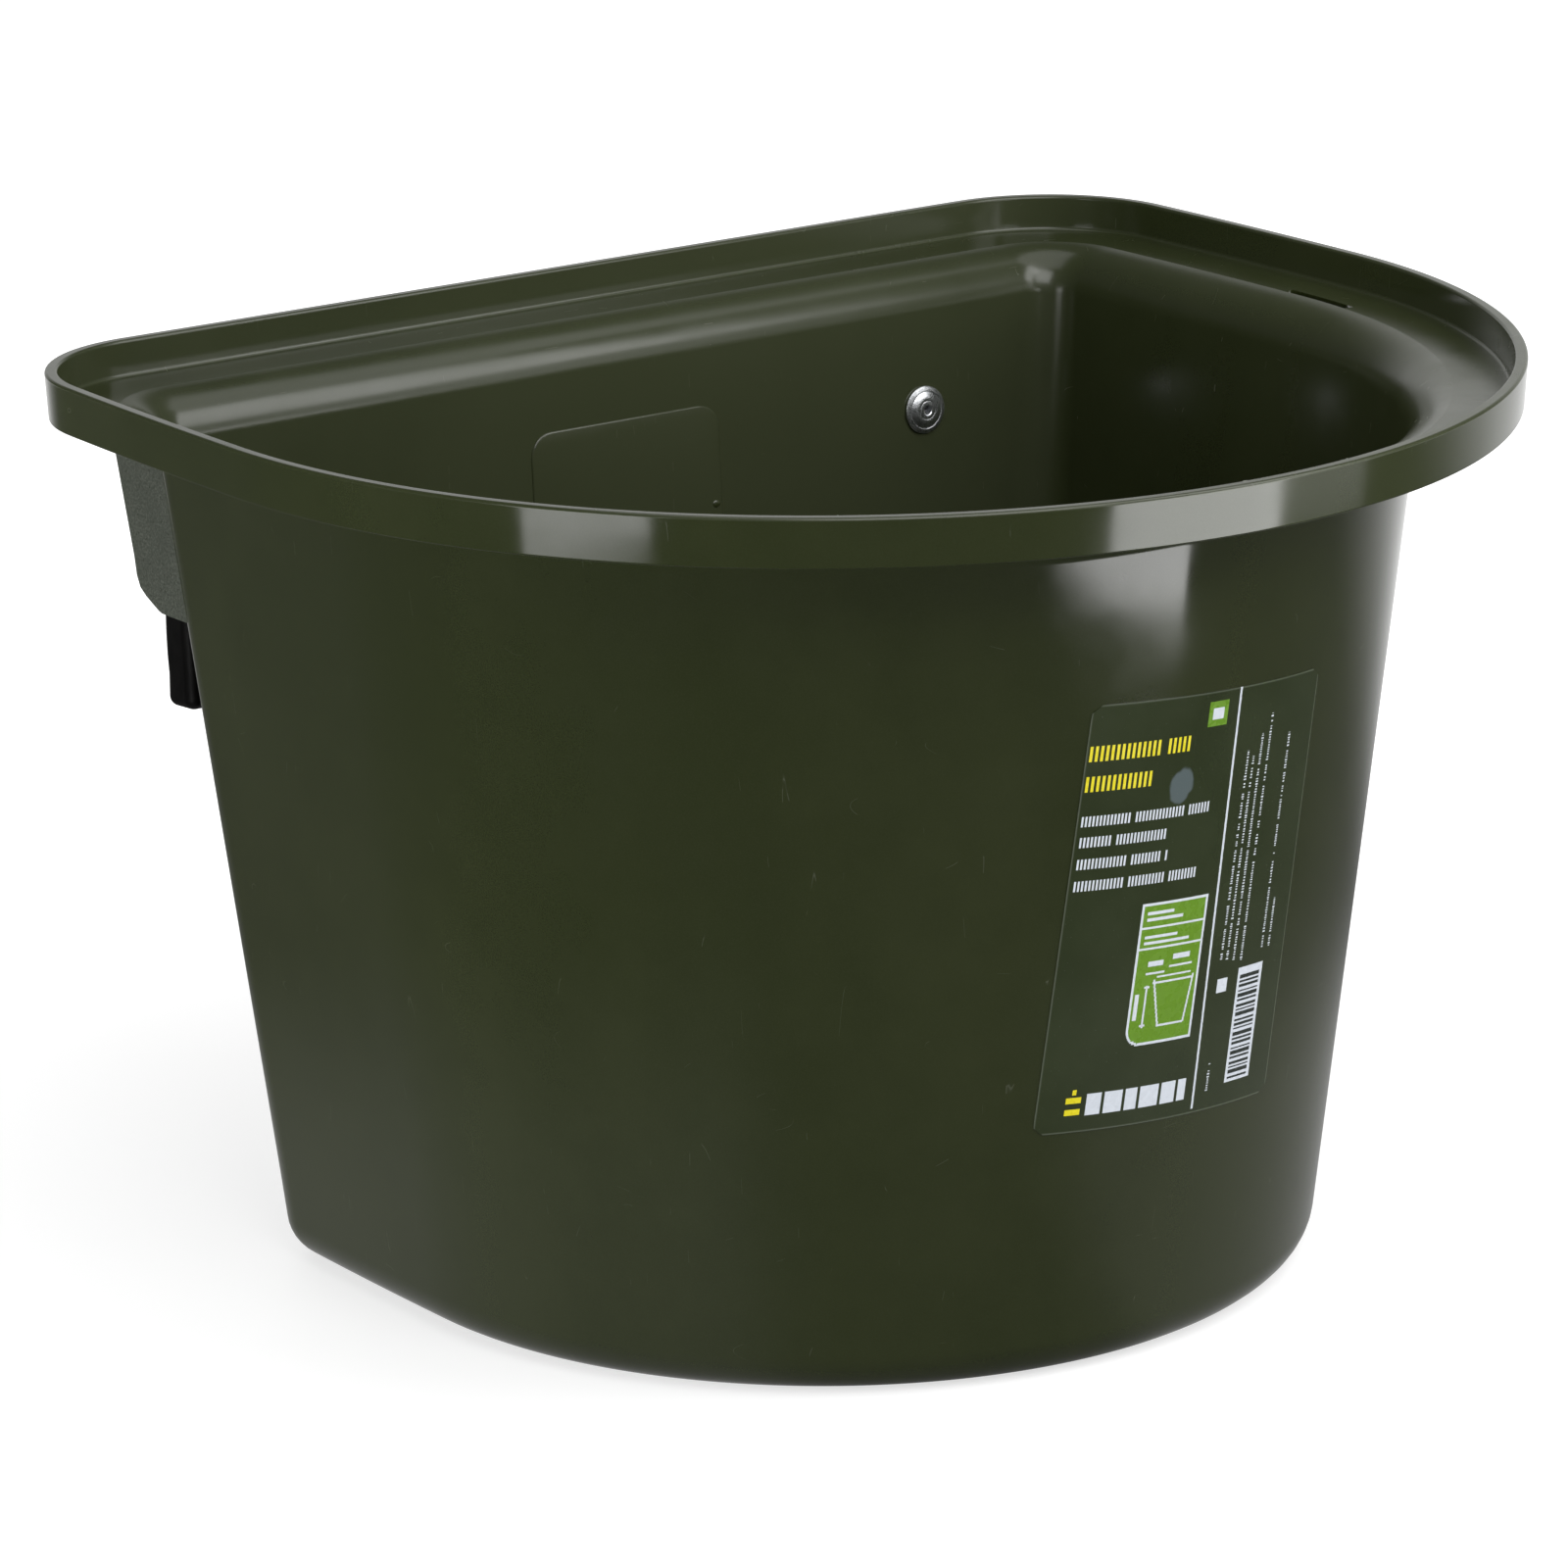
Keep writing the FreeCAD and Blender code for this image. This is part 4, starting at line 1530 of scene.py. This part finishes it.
@dataclass(frozen=True)
class LabelFilm:
    """Glossy film of the label, a touch lighter than the wall, with dust and an air bubble whose pale bluish
    sheen is a painted reflection.
    """

    ground: Triple = (0.019, 0.027, 0.0085)
    haze: Triple = (0.025, 0.034, 0.0130)

    def material(self) -> bpy.types.Material:
        """Builds the node material.

        Returns:
            The finished material.
        """
        sheet = NodeSheet("label_film")
        flat = sheet.add("ShaderNodeUVMap").outputs[0]
        colour = sheet.blend(sheet.ramp(sheet.noise(35.0, 5.0), 0.35, 0.7), self.ground, self.haze)
        split = sheet.add("ShaderNodeSeparateXYZ", {0: flat})
        u, v = split.outputs[0], split.outputs[1]
        # painted reflection: a pale bluish round patch is mixed into the film's colour over the air bubble
        off = sheet.noise(170.0, 2.0, vector=flat)
        away_u = sheet.maths("DIVIDE", sheet.maths("ADD", u, 0.0100), 0.0045)
        away_v = sheet.maths("DIVIDE", sheet.maths("ADD", v, -0.0357), 0.0052)
        ring = sheet.maths("POWER", sheet.maths("ADD", sheet.maths("MULTIPLY", away_u, away_u),
                                                sheet.maths("MULTIPLY", away_v, away_v)), 0.5)
        ring = sheet.maths("ADD", ring, sheet.maths("MULTIPLY", off, 0.7))
        bubble = sheet.ramp(ring, 1.35, 1.15)
        colour = sheet.blend(sheet.maths("MULTIPLY", bubble, 0.75), colour, (0.105, 0.135, 0.145))
        edge_u = sheet.ramp(sheet.maths("ABSOLUTE", u), 0.0414, 0.0419)
        edge_v = sheet.ramp(sheet.maths("ABSOLUTE", v), 0.0604, 0.0609)
        edge = sheet.maths("MAXIMUM", edge_u, edge_v)
        colour = sheet.blend(sheet.maths("MULTIPLY", edge, 0.45), colour, (0.15, 0.17, 0.13))
        dust = sheet.ramp(sheet.noise(2400.0, 1.0), 0.74, 0.80)
        colour = sheet.blend(sheet.maths("MULTIPLY", dust, 0.4), colour, (0.16, 0.17, 0.15))
        rough = sheet.ramp(sheet.noise(28.0, 4.0), 0.3, 0.7, 0.07, 0.13)
        return sheet.surface(Base_Color=colour, Roughness=rough, IOR=1.50,
                             Normal=sheet.bump(sheet.noise(60.0, 2.0), 0.0002, 0.12))


@dataclass(frozen=True)
class PrintInk:
    """Printing ink with a slightly uneven coat."""

    name: str
    colour: Triple

    def material(self) -> bpy.types.Material:
        """Builds the node material.

        Returns:
            The finished material.
        """
        sheet = NodeSheet(self.name)
        worn = tuple(value * 0.96 for value in self.colour)
        colour = sheet.blend(sheet.ramp(sheet.noise(900.0, 3.0), 0.3, 0.7), worn, self.colour)
        rough = sheet.ramp(sheet.noise(300.0, 2.0), 0.3, 0.7, 0.22, 0.34)
        return sheet.surface(Base_Color=colour, Roughness=rough, IOR=1.45)


@dataclass(frozen=True)
class Rubber:
    """Black rubber with a dusty bloom."""

    ground: Triple = (0.0018, 0.0017, 0.0016)
    bloom: Triple = (0.0060, 0.0056, 0.0050)

    def material(self) -> bpy.types.Material:
        """Builds the node material.

        Returns:
            The finished material.
        """
        sheet = NodeSheet("black_rubber")
        dust = sheet.ramp(sheet.noise(240.0, 6.0, 0.7, sheet.stretched((1, 1, 0.3))), 0.45, 0.75)
        colour = sheet.blend(sheet.maths("MULTIPLY", dust, 0.6), self.ground, self.bloom)
        rough = sheet.ramp(sheet.noise(130.0, 4.0), 0.3, 0.7, 0.38, 0.55)
        return sheet.surface(Base_Color=colour, Roughness=rough, IOR=1.50, Specular_IOR_Level=0.12,
                             Normal=sheet.bump(sheet.noise(1500.0, 3.0), 0.00005, 0.4))


@dataclass(frozen=True)
class CoatedSteel:
    """Black coated strap steel: satin, finely pebbled, with dusty spots and rubbed places."""

    ground: Triple = (0.018, 0.018, 0.019)
    rubbed: Triple = (0.060, 0.060, 0.062)

    def material(self) -> bpy.types.Material:
        """Builds the node material.

        Returns:
            The finished material.
        """
        sheet = NodeSheet("black_coated_steel")
        streak = sheet.noise(420.0, 5.0, 0.6, sheet.stretched((1.0, 0.12, 0.12)))
        spots = sheet.ramp(sheet.noise(180.0, 4.0), 0.55, 0.72)
        worn = sheet.maths("MAXIMUM", sheet.maths("MULTIPLY", spots, 0.5), sheet.ramp(streak, 0.58, 0.75))
        colour = sheet.blend(sheet.maths("MULTIPLY", worn, 0.7), self.ground, self.rubbed)
        rough = sheet.maths("ADD", sheet.ramp(streak, 0.3, 0.7, 0.32, 0.42),
                            sheet.maths("MULTIPLY", spots, 0.15))
        return sheet.surface(Base_Color=colour, Roughness=rough, IOR=1.50,
                             Normal=sheet.bump(sheet.noise(900.0, 2.0), 0.00006, 0.5))


@dataclass(frozen=True)
class TurnedAluminium:
    """Bright aluminium of the rivets with rings from the setting tool and light stains."""

    ground: Triple = (0.78, 0.80, 0.82)
    stain: Triple = (0.30, 0.31, 0.33)
    roughness: float = 0.30

    def material(self) -> bpy.types.Material:
        """Builds the node material.

        Returns:
            The finished material.
        """
        sheet = NodeSheet("turned_aluminium")
        stains = sheet.ramp(sheet.noise(330.0, 5.0, 0.65), 0.45, 0.75)
        colour = sheet.blend(sheet.maths("MULTIPLY", stains, 0.6), self.ground, self.stain)
        fine = sheet.noise(2800.0, 3.0)
        rough = sheet.ramp(fine, 0.3, 0.7, self.roughness - 0.04, self.roughness + 0.10)
        return sheet.surface(Base_Color=colour, Roughness=rough, Metallic=1.0,
                             Normal=sheet.bump(fine, 0.00004, 0.5))


@dataclass(frozen=True)
class BrokenPin:
    """Dark broken steel of the pins, coarse where it tore."""

    ground: Triple = (0.16, 0.16, 0.17)

    def material(self) -> bpy.types.Material:
        """Builds the node material.

        Returns:
            The finished material.
        """
        sheet = NodeSheet("broken_pin_steel")
        grain = sheet.noise(1900.0, 4.0, 0.7)
        colour = sheet.blend(sheet.ramp(grain, 0.35, 0.65), (0.06, 0.06, 0.065), self.ground)
        rough = sheet.ramp(grain, 0.3, 0.7, 0.35, 0.6)
        return sheet.surface(Base_Color=colour, Roughness=rough, Metallic=1.0,
                             Normal=sheet.bump(grain, 0.0002, 0.7))


# ---- the studio ------------------------------------------------------------------------
@dataclass(frozen=True)
class Softbox:
    """A rectangular soft lamp that faces a point; lights and shows set its diffuse and glossy part."""

    name: str
    place: Triple
    aim: Triple
    width: float
    height: float
    radiance: float
    lights: bool = True
    shows: bool = True

    def build(self) -> None:
        """Hangs the lamp; its power follows from its size and radiance."""
        data = bpy.data.lights.new(self.name, "AREA")
        data.shape = "RECTANGLE"
        data.size = self.width * MM
        data.size_y = self.height * MM
        data.energy = self.radiance * math.pi * data.size * data.size_y
        lamp = bpy.data.objects.new(self.name, data)
        lamp.visible_diffuse = self.lights
        lamp.visible_glossy = self.shows
        bpy.context.scene.collection.objects.link(lamp)
        place = Vector(metres(*self.place))
        ahead = (Vector(metres(*self.aim)) - place).normalized()
        lamp.matrix_world = Matrix.Translation(place) @ ahead.to_track_quat("-Z", "Y").to_matrix().to_4x4()


@dataclass
class Studio:
    """Camera, lamps, floor and surround."""

    camera_place: Triple = (-1248.818, -1631.707, 740.455)
    camera_aim: Triple = (-25.084, 18.600, 140.637)
    camera_roll: float = -0.419
    lens: float = 176.15
    sensor: float = 36.0
    fill: float = 0.26
    softboxes: tuple[Softbox, ...] = (
        Softbox("right_softbox", (135, -482, 178), (-23, -128, 178), 250, 290, 6.9, lights=False),
        Softbox("side_card", (335, -425, 300), (-40, 100, 300), 200, 400, 1.2, lights=False),
        Softbox("upper_softbox", (350, -415, 745), (-75, 131, 300), 300, 460, 4.3),
        Softbox("left_softbox", (-750, -228, 204), (-150, -80, 204), 265, 390, 5.0, lights=False),
        Softbox("side_softbox", (-1000, 60, 230), (-150, 60, 140), 800, 400, 6.5, shows=False),
        Softbox("front_softbox", (-250, -950, 1150), (0, 60, 150), 1000, 800, 3.9),
        Softbox("low_softbox", (-380, -1000, 240), (0, -60, 140), 900, 400, 1.5, shows=False),
        Softbox("right_fill", (820, -860, 560), (60, -40, 170), 700, 600, 5.2, shows=False),
        Softbox("back_softbox", (500, 1500, 800), (0, 160, 130), 1000, 700, 4.0, shows=False),
        Softbox("top_softbox", (150, -100, 1500), (0, 50, 200), 1300, 1300, 1.2),
    )

    def add_camera(self) -> None:
        """Places the camera at its viewing angle."""
        data = bpy.data.cameras.new("view")
        data.lens = self.lens
        data.sensor_width = self.sensor
        data.clip_end = 50
        camera = bpy.data.objects.new("view", data)
        bpy.context.scene.collection.objects.link(camera)
        place = Vector(metres(*self.camera_place))
        ahead = (Vector(metres(*self.camera_aim)) - place).normalized()
        right = ahead.cross(Vector((0, 0, 1))).normalized()
        up = right.cross(ahead)
        roll = math.radians(self.camera_roll)
        turned_right = right * math.cos(roll) + up * math.sin(roll)
        turned_up = up * math.cos(roll) - right * math.sin(roll)
        axes = Matrix((turned_right, turned_up, -ahead)).transposed()
        camera.matrix_world = Matrix.Translation(place) @ axes.to_4x4()
        bpy.context.scene.camera = camera

    def add_floor(self) -> None:
        """Lays the pale floor: white in view, dim in the plastic's gloss, with a soft shadow."""
        start_fresh()
        bpy.ops.mesh.primitive_grid_add(x_subdivisions=8, y_subdivisions=8, size=9.0)
        floor = bpy.context.active_object
        floor.name = floor.data.name = "studio_floor"
        sheet = NodeSheet("studio_floor")
        rays = sheet.add("ShaderNodeLightPath").outputs
        seen = sheet.maths("MAXIMUM", rays["Is Camera Ray"], rays["Is Transmission Ray"])
        glossy = rays["Is Glossy Ray"]
        colour = sheet.blend(glossy, (0.42, 0.42, 0.42), (0.02, 0.02, 0.02))
        diffuse = sheet.add("ShaderNodeBsdfDiffuse", {"Color": colour}).outputs[0]
        split = sheet.add("ShaderNodeSeparateXYZ", {0: sheet.object_coords})
        away = sheet.add("ShaderNodeVectorMath", {0: sheet.object_coords},
                         operation="LENGTH").outputs["Value"]
        back = sheet.maths("ADD", sheet.maths("MULTIPLY", split.outputs[0], 0.75),
                           sheet.maths("MULTIPLY", split.outputs[1], 0.66))
        ahead = sheet.maths("DIVIDE", sheet.maths("ADD", sheet.maths("MULTIPLY", split.outputs[0], -0.42),
                                                  sheet.maths("MULTIPLY", split.outputs[1], -0.906)), away)
        near = sheet.maths("MULTIPLY", sheet.ramp(away, 0.20, 0.40, 0.22, 0.0),
                           sheet.ramp(ahead, 0.78, 0.97, 1.0, 0.1))
        far = sheet.ramp(back, 0.33, 0.85, 0.14, 1.0)
        shine = sheet.maths("ADD", near, far)
        white = sheet.maths("MULTIPLY", seen, sheet.ramp(away, 0.20, 0.75, 0.66, 1.0))
        strength = sheet.maths("ADD", white, sheet.maths("MULTIPLY", glossy, shine))
        glow = sheet.add("ShaderNodeEmission", {"Strength": strength}).outputs[0]
        both = sheet.add("ShaderNodeAddShader", {0: diffuse, 1: glow}).outputs[0]
        sheet.add("ShaderNodeOutputMaterial", {"Surface": both})
        floor.data.materials.append(sheet.material)

    def add_surround(self) -> None:
        """Sets the surround: white backdrop in view, dim studio around, plain light on the object."""
        world = bpy.data.worlds.new("surround")
        bpy.context.scene.world = world
        world.use_nodes = True
        tree = world.node_tree
        tree.nodes.clear()

        def add(kind: str, **settings: object) -> bpy.types.Node:
            """Adds a node to the surround.

            Args:
                kind: Blender's name of the node.
                **settings: Its properties.

            Returns:
                The node.
            """
            node = tree.nodes.new(kind)
            for key, value in settings.items():
                setattr(node, key, value)
            return node

        rays = add("ShaderNodeLightPath")
        coords = add("ShaderNodeTexCoord")
        facing = add("ShaderNodeVectorMath", operation="DOT_PRODUCT")
        facing.inputs[1].default_value = (0.60, 0.80, -0.10)
        tree.links.new(coords.outputs["Generated"], facing.inputs[0])
        backdrop = add("ShaderNodeMapRange", interpolation_type="SMOOTHSTEP")
        for number, value in ((1, 0.70), (2, 0.93), (3, 0.13), (4, 1.0)):
            backdrop.inputs[number].default_value = value
        tree.links.new(facing.outputs["Value"], backdrop.inputs[0])
        seen = add("ShaderNodeMath", operation="MAXIMUM")
        tree.links.new(rays.outputs["Is Camera Ray"], seen.inputs[0])
        tree.links.new(rays.outputs["Is Transmission Ray"], seen.inputs[1])
        plain = add("ShaderNodeMix")
        plain.inputs[2].default_value = self.fill
        tree.links.new(rays.outputs["Is Glossy Ray"], plain.inputs[0])
        tree.links.new(backdrop.outputs[0], plain.inputs[3])
        strength = add("ShaderNodeMix")
        strength.inputs[3].default_value = 1.0
        tree.links.new(seen.outputs[0], strength.inputs[0])
        tree.links.new(plain.outputs[0], strength.inputs[2])
        background = add("ShaderNodeBackground")
        tree.links.new(strength.outputs[0], background.inputs["Strength"])
        tree.links.new(background.outputs[0], add("ShaderNodeOutputWorld").inputs[0])

    def build(self) -> None:
        """Sets up camera, lamps, floor and surround."""
        self.add_camera()
        self.add_floor()
        self.add_surround()
        for softbox in self.softboxes:
            softbox.build()
        bpy.context.scene.view_settings.view_transform = "Standard"


def main() -> None:
    """Builds and dresses every piece, then the studio."""
    logging.basicConfig(level=logging.INFO, format="%(message)s")
    plastic = MouldedPlastic().material()
    matt = SparkEroded().material()
    steel, rubber = CoatedSteel().material(), Rubber().material()
    aluminium, pin = TurnedAluminium().material(), BrokenPin().material()

    shell = BucketShell()
    shell.build(plastic)
    InnerPanel(shell).build(plastic)
    TrimmingBurrs(shell).build(StressedPlastic().material())
    for side in Side:
        GussetFin(shell, side).build(matt)
        strap = HookStrap(shell, side)
        strap.build(steel)
        LegSleeve(strap).build(rubber)
        BlindRivet(strap).build(aluminium, pin)

    label = FrontLabel(shell)
    label.build_film(LabelFilm().material())
    layout = LabelPrint()
    layout.lay_out()
    for ink in Ink:
        material = PrintInk(f"{ink.name.lower()}_ink", ink.value).material()
        label.build_print(f"{ink.name.lower()}_print", layout.blocks[ink], material, 0.29)
        if layout.over[ink]:
            label.build_print(f"{ink.name.lower()}_overprint", layout.over[ink], material, 0.33)
    stripes = PrintInk("dark_ink", (0.020, 0.026, 0.022)).material()
    label.build_print("field_stripes", StripedField().blocks(), stripes, 0.33)
    Studio().build()


if __name__ == "__main__":
    main()
